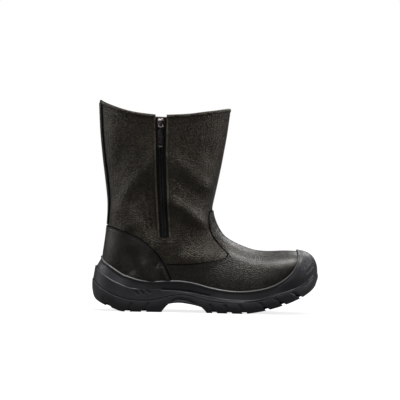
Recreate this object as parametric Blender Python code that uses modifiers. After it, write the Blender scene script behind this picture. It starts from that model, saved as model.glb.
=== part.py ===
"""High-top side-zip safety boot for a left foot, standing on its sole.

The boot is lasted leather on a moulded two-layer sole. All sizes below are in millimetres and
meshes are made in metres. +X points to the toe, +Z up, and the zip is on the inner side, at -Y.
"""

import math

import bmesh
import bpy
import numpy as np

MM = 0.001

# Driving dimensions, in millimetres
WALL = 2.4
GAP = 0.3
OVERLAY = 1.4
BUMPER = 3.3
BINDING = 4.4
BINDING_COLUMNS = 20
INSOLE = 4.0
SEAT = 3.2
INSOLE_PLAY = 2.0
INSOLE_HEEL = -124.0
SOLE_STATIONS = 32
SECTION_STEPS = 2
HALF_COLUMNS = 11
COARSE_FROM = 12
TURN_WEIGHT = 30.0
SAG_POWER = 0.8
CUTTER_REACH = 90.0
SEAT_ENDS_X = -129.0
SEAT_ENDS_Z = 60.0

# Sections of the upper, from toe to collar. Each is a plane through a top point on the front of
# the boot and a low point on the sole line or the back. centre and half place it across the boot,
# seat is its width at the sole line as a share of half, widest is the height share of the full
# width, low and crown are the roundness below and above that, and sag drops the middle of a ring.
SECTION_COLUMNS = (
    "top_x", "top_z", "low_x", "low_z", "centre", "half", "seat", "widest", "low", "crown", "sag",
)
SECTIONS = (
    (145.4, 60.0, 145.0, 54.5, -9.5, 0.0, 0.68, 0.42, 2.0, 2.2, 0.0),  # toe tip
    (143.8, 66.5, 143.2, 50.5, -9.3, 15.0, 0.68, 0.42, 2.0, 2.3, 0.0),
    (139.5, 74.5, 138.6, 45.5, -8.8, 26.5, 0.70, 0.40, 2.0, 2.4, 0.0),
    (132.5, 79.8, 131.5, 39.0, -8.0, 35.5, 0.75, 0.38, 2.0, 2.5, 0.0),
    (121.0, 83.0, 119.0, 31.5, -6.4, 43.0, 0.81, 0.36, 2.0, 2.5, 0.0),  # toe cap
    (104.0, 83.2, 103.0, 24.5, -4.2, 48.0, 0.86, 0.34, 2.0, 2.3, 0.0),
    (84.0, 82.2, 82.0, 19.5, -1.6, 50.5, 0.86, 0.32, 2.0, 2.3, 0.0),
    (66.0, 83.6, 62.0, 16.5, 0.8, 51.0, 0.86, 0.30, 2.0, 2.28, 0.0),  # ball
    (50.0, 88.8, 42.0, 16.5, 2.4, 49.5, 0.84, 0.30, 1.9, 2.2, 0.0),
    (36.0, 95.0, 14.0, 19.0, 2.9, 46.0, 0.80, 0.31, 1.8, 2.1, 0.0),
    (25.0, 102.3, -18.0, 23.0, 2.6, 43.0, 0.76, 0.36, 1.75, 2.0, 0.0),  # waist
    (17.5, 112.0, -52.0, 25.5, 1.7, 41.5, 0.74, 0.42, 1.8, 1.95, 0.0),  # instep
    (12.6, 122.0, -84.0, 25.5, 0.8, 41.0, 0.74, 0.48, 2.0, 1.95, 0.0),
    (9.8, 130.0, -108.0, 25.5, 0.2, 41.0, 0.66, 0.53, 2.15, 2.0, 0.0),  # heel seat
    (8.7, 136.0, -122.5, 27.0, 0.0, 41.2, 0.44, 0.55, 2.5, 2.0, 0.0),
    (8.5, 141.0, -129.5, 31.0, 0.0, 41.3, 0.0, 0.56, 2.7, 2.0, 0.0),  # heel end
    (9.2, 146.0, -135.5, 41.5, 0.0, 41.5, 0.0, 0.56, 2.66, 2.0, 0.0),
    (10.3, 151.5, -138.3, 56.0, 0.0, 41.7, 0.0, 0.55, 2.6, 2.0, 0.0),
    (11.8, 158.5, -138.0, 74.0, 0.0, 42.0, 0.0, 0.54, 2.45, 2.0, 0.5),
    (14.2, 170.0, -135.4, 95.0, 0.0, 42.0, 0.0, 0.53, 2.3, 2.0, 1.0),
    (17.2, 185.0, -133.0, 119.0, 0.0, 42.0, 0.0, 0.52, 2.2, 2.0, 2.0),  # ankle
    (20.3, 201.5, -132.4, 146.0, 0.0, 42.0, 0.0, 0.51, 2.1, 2.0, 4.0),
    (23.3, 219.0, -135.6, 175.0, 0.0, 42.3, 0.0, 0.50, 2.0, 2.0, 7.0),
    (26.2, 236.5, -140.0, 207.0, 0.0, 42.8, 0.0, 0.50, 2.0, 2.0, 10.0),  # shaft
    (28.6, 254.0, -143.8, 242.0, 0.0, 43.4, 0.0, 0.50, 2.0, 2.0, 13.0),
    (30.6, 271.5, -146.2, 280.8, 0.0, 44.0, 0.0, 0.50, 2.0, 2.0, 16.0),  # collar
)

# Lines of the sole seen from the side: (x, z).
RIM_LINE = (
    (-141.6, 73.7), (-137.0, 66.3), (-129.0, 60.0), (-115.5, 51.0), (-102.0, 44.7), (-88.0, 40.8),
    (-72.0, 39.4), (-50.0, 40.4), (-33.0, 40.6), (-14.0, 37.8), (7.0, 32.4), (28.0, 28.8),
    (48.0, 27.8), (68.0, 29.8), (88.0, 34.7), (102.0, 41.7), (114.0, 51.0), (121.0, 59.5),
    (125.0, 68.5), (126.2, 76.0), (125.0, 82.5), (122.8, 87.0),
)
BODY_RIM_LINE = (
    (-144.5, 73.0), *RIM_LINE[1:15], (102.0, 40.5), (115.0, 48.0), (130.0, 55.0), (144.0, 60.5),
)
LEDGE_LINE = (
    (-148.5, 59.5), (-142.6, 52.0), (-129.0, 42.7), (-115.0, 36.1), (-101.5, 31.2), (-84.0, 29.0),
    (-60.0, 29.5), (-33.0, 30.0), (0.0, 22.5), (25.0, 18.2), (48.0, 17.2), (66.0, 18.0),
    (79.0, 21.0), (92.0, 25.7), (108.0, 31.5), (129.0, 40.5), (142.5, 51.0), (149.0, 59.0),
)
PARTING_LINE = (
    (-152.0, 43.6), (-142.3, 33.6), (-128.6, 25.0), (-115.0, 19.8), (-101.0, 16.5), (-87.0, 15.3),
    (-74.0, 15.6), (-60.6, 17.7), (-47.0, 21.8), (-33.5, 23.6), (-20.0, 22.6), (-6.0, 18.6),
    (7.3, 16.0), (21.0, 14.6), (48.0, 14.5), (75.0, 18.4), (102.0, 27.0), (129.0, 37.7),
    (142.5, 48.1), (150.5, 56.4),
)
FLOOR_LINE = (
    (-140.0, 14.0), (-110.0, 11.0), (-70.0, 12.0), (-33.0, 18.0), (5.0, 11.0), (40.0, 8.0),
    (70.0, 10.0), (105.0, 18.0), (120.0, 23.5), (140.0, 33.5),
)
TREAD_LINE = (
    (-153.5, 28.5), (-151.6, 21.2), (-146.0, 14.5), (-135.0, 8.6), (-122.0, 3.8), (-109.0, 0.0),
    (-84.0, 0.0), (-58.0, 0.0), (-33.0, 0.0), (-10.0, 0.0), (10.0, 0.0), (30.0, 0.0), (52.0, 0.0),
    (66.0, 1.8), (80.0, 4.6), (98.0, 9.8), (117.0, 17.0), (134.0, 25.5), (146.0, 35.0), (151.7, 44.0),
)

# Sole in plan: centre line and half width at the parting line, before its ends are rounded off.
PLAN_COLUMNS = ("x", "centre", "half")
PLAN = (
    (-152.0, 0.6, 43.5), (-110.0, 0.6, 43.5), (-80.0, 1.4, 43.5), (-40.0, 2.6, 43.5), (-5.0, 3.5, 46.5),
    (30.0, 3.2, 52.5), (62.0, 1.2, 56.2), (90.0, -2.0, 55.5), (120.0, -6.0, 53.0), (152.5, -9.0, 50.0),
)
HEEL_ROUND = (46.0, 2.2)
TOE_ROUND = (70.0, 2.5)

# Rings of the sole body: how far each is drawn in from the plan, and where its ends are.
RING_COLUMNS = ("inset", "heel_end", "toe_end")
PARTING_RING = (0.4, -151.6, 151.0)
LEDGE_RING = (1.4, -149.2, 149.0)
CUP_RING = (2.6, -147.6, 147.0)
RIM_RING = (3.4, -144.6, 143.5)
FLOOR_RING = (12.0, -136.0, 136.0)
SOLE_RING = (-0.2, -152.9, 152.9)
TREAD_RING = (3.2, -150.2, 150.0)

# Arch and grooves of the tread, cut through from side to side.
ARCH_OUTLINE = (
    (-58.5, -6.0), (-57.5, 0.6), (-50.0, 9.8), (-45.0, 12.0), (-33.5, 13.0), (-20.0, 11.4), (-6.0, 8.2),
    (-2.0, 5.6), (2.5, 0.6), (4.0, -6.0),
)
GROOVE_COLUMNS = ("x", "z", "width", "depth", "lean")
GROOVES = (
    (-129.0, 6.5, 8.0, 4.0, -35.0),
    (-104.0, 0.0, 9.5, 3.6, 30.0),
    (-82.0, 0.0, 9.5, 3.6, 30.0),
    (14.0, 0.0, 9.0, 3.6, -32.0),
    (34.0, 0.0, 9.0, 3.6, -32.0),
    (54.0, 0.4, 9.0, 3.6, -32.0),
    (84.5, 6.0, 9.0, 4.2, -50.0),
    (106.5, 13.0, 9.0, 4.4, -55.0),
    (129.0, 23.0, 8.5, 4.4, -60.0),
)
GROOVE_FLOOR = 0.28
GROOVE_START = 8.0
GROOVE_LAND = 13.0

# Leather overlays and zip, as outlines seen from the side.
COUNTER_EDGE = (
    (-136.0, 116.8), (-130.0, 113.6), (-116.5, 109.0), (-103.0, 104.0), (-89.0, 97.5), (-75.5, 87.6),
    (-68.0, 80.4), (-61.0, 71.6), (-54.6, 61.6), (-50.3, 52.9), (-45.2, 41.2),
)
VAMP_EDGE = (
    (14.0, 141.5), (9.0, 137.8), (4.4, 134.6), (3.0, 129.5), (4.4, 123.0), (8.6, 113.2), (15.3, 101.5),
    (23.6, 91.5), (29.4, 84.5), (30.4, 78.5), (26.0, 72.6), (13.0, 68.4), (-8.0, 65.3), (-32.0, 63.4),
    (-53.0, 63.6),
)
COUNTER_TOP = 117.0
BACK_STAY_HALF = 12.0
ZIP_COLUMNS = ("z", "x", "half")
ZIP_LINE = ((100.2, -55.4, 6.3), (164.0, -60.0, 6.5), (218.0, -62.4, 6.7), (276.0, -62.8, 7.4))
COLLAR_CLEAR = 300.0
TAPE = 0.9
TAPE_TOP = 262.0
CHAIN_HALF = 3.1
CHAIN = 1.5
SLIDER_TOP = 259.0
SLIDER_FOOT = 244.0
SLIDER_HALF = 4.8
SLIDER_DEPTH = 4.2
PIVOT_Z = 247.0
PIN_RADIUS = 0.8
PIN_PLAY = 0.1
TAB_LENGTH = 26.0
TAB_HALF = 3.6
TAB = 1.5

COLOURS = {
    "leather": ((0.028, 0.025, 0.022), 0.45, 0.0),
    "sole": ((0.020, 0.020, 0.023), 0.55, 0.0),
    "lining": ((0.10, 0.09, 0.085), 0.9, 0.0),
    "textile": ((0.010, 0.010, 0.011), 0.8, 0.0),
    "metal": ((0.022, 0.022, 0.024), 0.32, 0.85),
}


def smooth(values, steps):
    """Catmull-Rom curve through rows of values, with a number of steps to each gap."""
    rows = np.asarray(values, dtype=float)
    ends = np.vstack([2 * rows[:1] - rows[1:2], rows, 2 * rows[-1:] - rows[-2:-1]])
    out = []
    for i in range(len(rows) - 1):
        a, b, c, d = ends[i:i + 4]
        for k in range(steps):
            t = k / steps
            out.append(0.5 * (2 * b + (c - a) * t + (2 * a - 5 * b + 4 * c - d) * t * t
                              + (3 * b - a - 3 * c + d) * t ** 3))
    out.append(rows[-1])
    return np.array(out)


def line_z(line, x):
    """Height of a side-view line at x, never under the floor."""
    pts = smooth(line, 6)
    return np.maximum(np.interp(x, pts[:, 0], pts[:, 1]), 0.0)


def section_rows(steps):
    """Section table made finer over the forefoot, as a dict of columns."""
    fine = smooth(SECTIONS, steps)
    fine = fine[[i for i in range(len(fine)) if i % steps == 0 or i < steps * COARSE_FROM or steps > 2]]
    return {name: fine[:, i] for i, name in enumerate(SECTION_COLUMNS)}


def half_profile(row, count):
    """Half a section as (height share, width share), from the low end to the top, closer at turns."""
    a = np.linspace(0.0, math.pi / 2, 60)
    low_h = row["widest"] * (1 - np.cos(a) ** (2 / row["low"]))
    low_y = row["seat"] + (1 - row["seat"]) * np.sin(a) ** (2 / row["low"])
    top_h = row["widest"] + (1 - row["widest"]) * np.sin(a) ** (2 / row["crown"])
    top_y = np.cos(a) ** (2 / row["crown"])
    h = np.concatenate([low_h, top_h[1:]])
    y = np.concatenate([low_y, top_y[1:]])
    reach = math.hypot(row["top_x"] - row["low_x"], row["top_z"] - row["low_z"])
    dh, dy = np.diff(h) * reach, np.diff(y) * max(row["half"], 1e-3)
    turn = np.abs(np.diff(np.unwrap(np.arctan2(dy, dh)), prepend=np.arctan2(dy[0], dh[0])))
    weight = TURN_WEIGHT if row["half"] > 1.0 else 0.0
    run = np.concatenate([[0.0], np.cumsum(np.hypot(dh, dy) + weight * turn)])
    even = np.linspace(0.0, run[-1], count + 1)
    return np.interp(even, run, h), np.interp(even, run, y)


def section_point(row, h, y):
    """Points of a section from height shares and signed widths."""
    x = row["low_x"] + h * (row["top_x"] - row["low_x"])
    dip = row["sag"] * np.sin(math.pi * np.clip(h, 0, 1) ** SAG_POWER)
    z = row["low_z"] + h * (row["top_z"] - row["low_z"]) - dip
    return np.stack([x, row["centre"] * np.ones_like(x) + y, z], axis=-1)


def upper_grid(steps=SECTION_STEPS, count=HALF_COLUMNS):
    """Outer face of the upper: rows from toe to collar, columns from the inner side over to the outer."""
    table = section_rows(steps)
    grid = []
    for i in range(len(table["half"])):
        row = {name: values[i] for name, values in table.items()}
        row["half"] = max(row["half"], 0.0)
        on_sole = row["low_x"] > SEAT_ENDS_X and row["low_z"] < SEAT_ENDS_Z
        row["seat"] = max(row["seat"], 0.0) if on_sole else 0.0
        h, y = half_profile(row, count)
        inner = section_point(row, h, -y * row["half"])
        outer = section_point(row, h[::-1][1:], y[::-1][1:] * row["half"])
        grid.append(np.vstack([inner, outer]))
    return np.array(grid)


def upper_reach(x, z, side):
    """Y of the upper's outer face at a place seen from the side; side is -1 inner, 1 outer."""
    table = section_rows(12)
    low = np.stack([table["low_x"], table["low_z"]], axis=1)
    top = np.stack([table["top_x"], table["top_z"]], axis=1)
    h = 0.5
    spot = len(low) - 1
    for _ in range(6):
        p = np.array([x, z])
        dip = table["sag"] * math.sin(math.pi * h ** SAG_POWER)
        sagged = p[None, :] + np.stack([np.zeros(len(low)), dip], axis=1)
        along = top - low
        cross = along[:, 0] * (sagged[:, 1] - low[:, 1]) - along[:, 1] * (sagged[:, 0] - low[:, 0])
        spot = int(np.argmin(np.abs(cross) / np.maximum(np.hypot(along[:, 0], along[:, 1]), 1e-6)
                             + 1e3 * (np.hypot(along[:, 0], along[:, 1]) < 15)))
        span = along[spot]
        h = float(np.clip(np.dot(sagged[spot] - low[spot], span) / np.dot(span, span), 0.0, 1.0))
    row = {name: values[spot] for name, values in table.items()}
    hs, ys = half_profile(row, 80)
    return row["centre"] + side * max(row["half"], 0.0) * float(np.interp(h, hs, ys))


def collection(name):
    """New collection in the scene."""
    made = bpy.data.collections.new(name)
    bpy.context.scene.collection.children.link(made)
    return made


def material(name, kind):
    """Principled material of one of the named colours."""
    colour, rough, metal = COLOURS[kind]
    mat = bpy.data.materials.new(name)
    mat.use_nodes = True
    shader = mat.node_tree.nodes["Principled BSDF"]
    shader.inputs["Base Color"].default_value = (*colour, 1.0)
    shader.inputs["Roughness"].default_value = rough
    shader.inputs["Metallic"].default_value = metal
    mat.diffuse_color = (*colour, 1.0)
    return mat


def add_object(name, verts, faces, group):
    """Mesh object from points in millimetres, with doubled points merged."""
    bm = bmesh.new()
    points = [bm.verts.new(tuple(float(c) * MM for c in v)) for v in verts]
    for face in faces:
        bm.faces.new([points[i] for i in face])
    bmesh.ops.remove_doubles(bm, verts=bm.verts, dist=2e-6)
    bmesh.ops.dissolve_degenerate(bm, dist=2e-6, edges=bm.edges)
    if all(len(edge.link_faces) == 2 for edge in bm.edges):
        bmesh.ops.recalc_face_normals(bm, faces=bm.faces)
    mesh = bpy.data.meshes.new(name)
    bm.to_mesh(mesh)
    bm.free()
    obj = bpy.data.objects.new(name, mesh)
    group.objects.link(obj)
    return obj


def grid_faces(rows, cols):
    """Triangles of a grid, facing out of the upper and alike on both of its sides."""
    faces = []
    for r in range(rows - 1):
        for c in range(cols - 1):
            a, b = r * cols + c, r * cols + c + 1
            d, e = a + cols, b + cols
            faces += [(a, b, d), (b, e, d)] if c < cols // 2 else [(a, b, e), (a, e, d)]
    return faces


def merged(points, faces):
    """Faces without repeated corners where points lie on each other."""
    out = []
    for face in faces:
        kept = []
        for i in face:
            if all(np.linalg.norm(points[i] - points[k]) > 2e-3 for k in kept):
                kept.append(i)
        if len(kept) > 2:
            out.append(tuple(kept))
    return out


def upper_sheet(name, group):
    """Open sheet on the outer face of the upper."""
    grid = upper_grid()
    rows, cols = grid.shape[:2]
    points = grid.reshape(-1, 3)
    return add_object(name, points, merged(points, grid_faces(rows, cols)), group)


def upper_form(name, offset, group):
    """Filled form of the upper, grown all round by an offset."""
    grid = upper_grid()
    rows, cols = grid.shape[:2]
    faces = grid_faces(rows, cols)
    for r in range(rows - 1):
        faces.append((r * cols, (r + 1) * cols, (r + 1) * cols + cols - 1, r * cols + cols - 1))
    last = (rows - 1) * cols
    for c in range((cols - 1) // 2):
        faces.append((last + c, last + c + 1, last + cols - 2 - c, last + cols - 1 - c))
    points = grid.reshape(-1, 3)
    obj = add_object(name, points, merged(points, faces), group)
    grow = obj.modifiers.new("Grow", "DISPLACE")
    grow.strength = offset * MM
    grow.mid_level = 0.0
    return obj


def upper_shell(name, start, depth, group):
    """Closed shell lying between two offsets from the upper's outer face."""
    obj = upper_sheet(name, group)
    lift = obj.modifiers.new("Lift", "DISPLACE")
    lift.strength = start * MM
    lift.mid_level = 0.0
    wall = obj.modifiers.new("Wall", "SOLIDIFY")
    wall.thickness = depth * MM
    wall.offset = 1.0
    wall.use_even_offset = True
    return obj


def prism(name, outline, group, near=-CUTTER_REACH, far=CUTTER_REACH):
    """Solid with an outline seen from the side, run across the boot from near to far."""
    count = len(outline)
    verts = [(x, near, z) for x, z in outline] + [(x, far, z) for x, z in outline]
    faces = [tuple(range(count)), tuple(range(2 * count - 1, count - 1, -1))]
    faces += [(i, (i + 1) % count, count + (i + 1) % count, count + i) for i in range(count)]
    return add_object(name, verts, faces, group)


def rod(name, radius, half, place, group, sides=16):
    """Round bar across the boot's length axis, centred on a place."""
    x, y, z = place
    turns = [2 * math.pi * i / sides for i in range(sides)]
    ring = [(y + radius * math.cos(t), z + radius * math.sin(t)) for t in turns]
    verts = [(x - half, *p) for p in ring] + [(x + half, *p) for p in ring]
    faces = [tuple(range(sides)), tuple(range(2 * sides - 1, sides - 1, -1))]
    faces += [(i, sides + i, sides + (i + 1) % sides, (i + 1) % sides) for i in range(sides)]
    return add_object(name, verts, faces, group)


def combine(obj, cutter, operation):
    """Exact Boolean of an object with a cutter."""
    mod = obj.modifiers.new(f"{operation.title()} {cutter.name}"[:60], "BOOLEAN")
    mod.operation = operation
    mod.solver = "EXACT"
    mod.object = cutter


def plan_outline(ring, stations=SOLE_STATIONS):
    """Plan of a sole ring: x stations with inner and outer y, closed at both ends."""
    inset, heel_end, toe_end = ring
    turn = np.linspace(0.0, math.pi, stations + 1)
    share = (1 - np.cos(turn)) / 2
    share = 0.72 * share + 0.28 * turn / math.pi
    x = heel_end + (toe_end - heel_end) * share
    fine = smooth(PLAN, 6)
    centre = np.interp(x, fine[:, 0], fine[:, 1])
    half = np.interp(x, fine[:, 0], fine[:, 2]) - inset
    for gone, (radius, power) in ((x - heel_end, HEEL_ROUND), (toe_end - x, TOE_ROUND)):
        d = np.clip(gone / radius, 0.0, 1.0)
        half = half * (1 - (1 - d) ** power) ** (1 / power)
    return x, centre - half, centre + half


def ring_points(ring, line, drop=0.0):
    """Ring of a sole: inner side from heel to toe, then the outer side back."""
    x, inner, outer = plan_outline(ring)
    z = line_z(line, x) - drop
    there = np.stack([x, inner, z], axis=1)
    back = np.stack([x, outer, z], axis=1)[::-1][1:-1]
    return np.vstack([there, back])


def ring_loft(name, rings, group):
    """Closed solid through rings, capped with strips across the first and last ring."""
    count = len(rings[0])
    verts = np.vstack(rings)
    faces = []
    for r in range(len(rings) - 1):
        for i in range(count):
            j = (i + 1) % count
            faces.append((r * count + i, r * count + j, (r + 1) * count + j))
            faces.append((r * count + i, (r + 1) * count + j, (r + 1) * count + i))
    half = count // 2
    for base in (0, (len(rings) - 1) * count):
        faces.append((base, base + 1, base + count - 1))
        for i in range(1, half - 1):
            faces.append((base + i, base + i + 1, base + count - i - 1, base + count - i))
        faces.append((base + half - 1, base + half, base + half + 1))
    return add_object(name, verts, faces, group)


def zip_at(z, part):
    """A column of the zip line at a height."""
    fine = smooth(ZIP_LINE, 8)
    return np.interp(z, fine[:, 0], fine[:, ZIP_COLUMNS.index(part)])


def zip_outline(foot, top, half, steps=8):
    """Side outline of a strip along the zip; half is its half width, or None for the slot's own."""
    heights = np.linspace(foot, top, steps + 1)
    wide = [zip_at(z, "half") - GAP if half is None else half for z in heights]
    left = [(zip_at(z, "x") - w, z) for z, w in zip(heights, wide)]
    right = [(zip_at(z, "x") + w, z) for z, w in zip(heights, wide)]
    return left + right[::-1]


def rim_run(start, stop, lift):
    """Rim line between two x places, raised square to itself by a lift."""
    pts = smooth(RIM_LINE, 3)
    step = np.gradient(pts, axis=0)
    step /= np.linalg.norm(step, axis=1)[:, None]
    moved = pts + lift * np.stack([-step[:, 1], step[:, 0]], axis=1)
    low, high = sorted((start, stop))
    inside = [tuple(p) for p, q in zip(moved, pts) if low <= q[0] <= high]
    return inside if start < stop else inside[::-1]


def build_upper(parts, cutters):
    """Hollow leather wall, open at the collar, the zip slot and underneath."""
    obj = upper_sheet("upper", parts)
    wall = obj.modifiers.new("Wall", "SOLIDIFY")
    wall.thickness = WALL * MM
    wall.offset = -1.0
    wall.use_even_offset = True
    heights = np.linspace(ZIP_LINE[0][0], COLLAR_CLEAR, 9)
    left = [(zip_at(z, "x") - zip_at(z, "half"), z) for z in heights]
    right = [(zip_at(z, "x") + zip_at(z, "half"), z) for z in heights]
    slot = prism("zip_slot_cutter", left + right[::-1], cutters, far=-5.0)
    combine(obj, slot, "DIFFERENCE")
    return obj


def build_midsole(parts, cutters):
    """Moulded cup with heel step, rim and toe bumper, hollowed to take the lasted upper."""
    rise = GAP / 2
    seat = (PARTING_RING[0] + SEAT, PARTING_RING[1] + SEAT, PARTING_RING[2] - SEAT)
    obj = ring_loft("midsole", [
        ring_points(FLOOR_RING, FLOOR_LINE, -rise),
        ring_points(seat, PARTING_LINE, -rise),
        ring_points(PARTING_RING, PARTING_LINE, -rise),
        ring_points(LEDGE_RING, LEDGE_LINE),
        ring_points(CUP_RING, LEDGE_LINE, -0.8),
        ring_points(RIM_RING, BODY_RIM_LINE),
    ], parts)
    bumper = upper_form("bumper_form", GAP + BUMPER, cutters)
    under = [(x, z + 0.2) for x, z in smooth(LEDGE_LINE, 2) if x > 84.0]
    front = rim_run(86.0, 130.0, 0.0) + [(122.0, 100.0), (175.0, 100.0), (175.0, under[-1][1])]
    combine(bumper, prism("bumper_cutter", front + under[::-1], cutters), "INTERSECT")
    combine(obj, bumper, "UNION")
    combine(obj, upper_form("last_form", GAP, cutters), "DIFFERENCE")
    return obj


def build_outsole(parts, cutters):
    """Tread layer with side wall, arch and lugs."""
    rise = GAP / 2
    seat = (PARTING_RING[0] + SEAT, PARTING_RING[1] + SEAT, PARTING_RING[2] - SEAT)
    obj = ring_loft("outsole", [
        ring_points(FLOOR_RING, FLOOR_LINE, rise),
        ring_points(seat, PARTING_LINE, rise),
        ring_points(PARTING_RING, PARTING_LINE, rise),
        ring_points(SOLE_RING, PARTING_LINE, rise + 1.0),
        ring_points(TREAD_RING, TREAD_LINE),
    ], parts)
    combine(obj, prism("arch_cutter", ARCH_OUTLINE, cutters), "DIFFERENCE")
    verts, faces = [], []
    for x, z, width, depth, lean in GROOVES:
        slope = math.tan(math.radians(lean))
        for near, far in ((-CUTTER_REACH, -GROOVE_LAND / 2), (GROOVE_LAND / 2, CUTTER_REACH)):
            base = len(verts)
            mouth, floor = x - GROOVE_START * slope, x + depth * slope
            shape = ((mouth - width / 2, z - GROOVE_START), (mouth + width / 2, z - GROOVE_START),
                     (floor + width * GROOVE_FLOOR, z + depth), (floor - width * GROOVE_FLOOR, z + depth))
            verts += [(px, near, pz) for px, pz in shape] + [(px, far, pz) for px, pz in shape]
            faces += [(base, base + 1, base + 2, base + 3), (base + 7, base + 6, base + 5, base + 4)]
            for i, j in ((0, 1), (1, 2), (2, 3), (3, 0)):
                faces.append((base + i, base + 4 + i, base + 4 + j, base + j))
    combine(obj, add_object("groove_cutter", verts, faces, cutters), "DIFFERENCE")
    return obj


def build_insole(parts):
    """Board and sock on the floor of the cup, inside the wall of the upper."""
    grid = upper_grid()
    foot = [i for i, row in enumerate(grid)
            if row[0][0] > INSOLE_HEEL and abs(row[0][1] - row[-1][1]) > 1.0]
    ring = np.vstack([grid[foot, 0], grid[foot[::-1], -1]])
    step = np.roll(ring, -1, axis=0) - np.roll(ring, 1, axis=0)
    normal = np.stack([step[:, 1], -step[:, 0]], axis=1) / np.hypot(step[:, 0], step[:, 1])[:, None]
    ring[:, :2] += normal * (WALL + INSOLE_PLAY)
    ring[:, 2] += 0.05
    top = ring + np.array([0.0, 0.0, INSOLE])
    count = len(ring)
    half = count // 2
    verts = np.vstack([ring, top])
    faces = [(i, (i + 1) % count, count + (i + 1) % count, count + i) for i in range(count)]
    for base in (0, count):
        for i in range(half - 1):
            faces.append((base + i, base + i + 1, base + count - 2 - i, base + count - 1 - i))
    return add_object("insole", verts, faces, parts)


def build_overlay(name, outline, parts, cutters):
    """Leather overlay: a shell over the upper, cut to an outline seen from the side."""
    obj = upper_shell(name, GAP, OVERLAY, parts)
    combine(obj, prism(f"{name}_cutter", outline, cutters), "INTERSECT")
    return obj


def build_vamp(parts, cutters):
    """Forefoot overlay with a peak at the instep, down to the rim and the bumper."""
    edge = [tuple(p) for p in smooth(VAMP_EDGE, 2)]
    side = [(x + 2 * GAP, z) for x, z in COUNTER_EDGE if z < 62.0]
    rim = rim_run(side[-1][0] + 1.0, 130.0, GAP)
    outline = edge + side + rim + [(122.0, 110.0), (60.0, 150.0)]
    return build_overlay("vamp", outline, parts, cutters)


def build_heel_counter(parts, cutters):
    """Overlay round the heel, down to the rim of the cup."""
    edge = [(-165.0, COUNTER_TOP)] + list(COUNTER_EDGE)
    rim = rim_run(edge[-1][0] - 1.0, -150.0, GAP)
    outline = edge + rim + [(-165.0, 82.0)]
    return build_overlay("heel_counter", outline, parts, cutters)


def build_back_stay(parts, cutters):
    """Strip down the back seam, from the collar to the heel counter."""
    obj = upper_shell("back_stay", GAP, OVERLAY, parts)
    half = BACK_STAY_HALF
    foot = COUNTER_TOP + GAP
    outline = [(-165.0, foot), (-100.0, foot), (-100.0, COLLAR_CLEAR), (-165.0, COLLAR_CLEAR)]
    combine(obj, prism("back_stay_cutter", outline, cutters, near=-half, far=half), "INTERSECT")
    return obj


def build_collar_binding(parts):
    """Rolled edge along the top of the wall, open at the zip."""
    ring = upper_grid(1, BINDING_COLUMNS)[-1]
    step = np.gradient(ring, axis=0)
    normal = np.stack([step[:, 1], -step[:, 0]], axis=1) / np.hypot(step[:, 0], step[:, 1])[:, None]
    outward = np.sign(np.sum(normal * (ring[:, :2] - ring[:, :2].mean(0)), axis=1))
    ring[:, :2] -= normal * WALL / 2 * outward[:, None]
    ring[:, 2] += BINDING / 2 + GAP
    middle, half = zip_at(TAPE_TOP, "x"), zip_at(TAPE_TOP, "half") + GAP
    inner = ring[:BINDING_COLUMNS + 1]
    ahead = [p for p in inner if p[0] > middle + half + 1.5]
    behind = [p for p in inner if p[0] < middle - half - 1.5]
    order = np.argsort(inner[:, 0])
    ends = []
    for x in (middle + half, middle - half):
        ends.append([x, *(np.interp(x, inner[order, 0], inner[order, k]) for k in (1, 2))])
    path = [ends[0]] + list(ahead) + list(ring[BINDING_COLUMNS + 1:-1]) + list(behind) + [ends[1]]
    curve = bpy.data.curves.new("collar_binding", "CURVE")
    curve.dimensions = "3D"
    curve.bevel_depth = BINDING / 2 * MM
    curve.bevel_resolution = 1
    curve.use_fill_caps = True
    spline = curve.splines.new("POLY")
    spline.points.add(len(path) - 1)
    for point, place in zip(spline.points, path):
        point.co = (*(float(c) * MM for c in place), 1.0)
    obj = bpy.data.objects.new("collar_binding", curve)
    parts.objects.link(obj)
    return obj


def build_zip_strip(name, start, depth, outline, parts, cutters):
    """Strip of the zip: a shell at a depth in the slot, cut to its outline on the inner side."""
    obj = upper_shell(name, start, depth, parts)
    combine(obj, prism(f"{name}_cutter", outline, cutters, far=-5.0), "INTERSECT")
    return obj


def slider_face():
    """Y of the upper's outer face at the slider."""
    return upper_reach(zip_at(PIVOT_Z, "x"), PIVOT_Z, -1)


def build_zip_slider(parts, cutters):
    """Slider body with a bridge that carries the pin of the tab."""
    x = zip_at(PIVOT_Z, "x")
    back = slider_face() + WALL / 2 - GAP
    front = back - SLIDER_DEPTH
    shield = [(x - SLIDER_HALF * 0.7, SLIDER_FOOT), (x + SLIDER_HALF * 0.7, SLIDER_FOOT),
              (x + SLIDER_HALF, SLIDER_FOOT + 5.0), (x + SLIDER_HALF, SLIDER_TOP - 3.0),
              (x + SLIDER_HALF * 0.55, SLIDER_TOP), (x - SLIDER_HALF * 0.55, SLIDER_TOP),
              (x - SLIDER_HALF, SLIDER_TOP - 3.0), (x - SLIDER_HALF, SLIDER_FOOT + 5.0)]
    obj = prism("zip_slider", shield, parts, near=front, far=back)
    pin_y = front - 2.0
    reach = TAB_HALF * 0.5 + GAP
    for k, (near, far) in enumerate(((x - reach - 1.2, x - reach), (x + reach, x + reach + 1.2))):
        lug = [(pin_y - 1.5, PIVOT_Z - 1.5), (front + 1.0, PIVOT_Z - 1.5),
               (front + 1.0, PIVOT_Z + 4.5), (pin_y - 1.5, PIVOT_Z + 1.5)]
        verts = [(near, y, z) for y, z in lug] + [(far, y, z) for y, z in lug]
        faces = [(0, 1, 2, 3), (7, 6, 5, 4)] + [(i, 4 + i, 4 + (i + 1) % 4, (i + 1) % 4) for i in range(4)]
        combine(obj, add_object(f"slider_lug_{k + 1}", verts, faces, cutters), "UNION")
    pin = rod("slider_pin", PIN_RADIUS, reach + 0.8, (x, pin_y, PIVOT_Z), cutters)
    combine(obj, pin, "UNION")
    return obj


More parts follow.
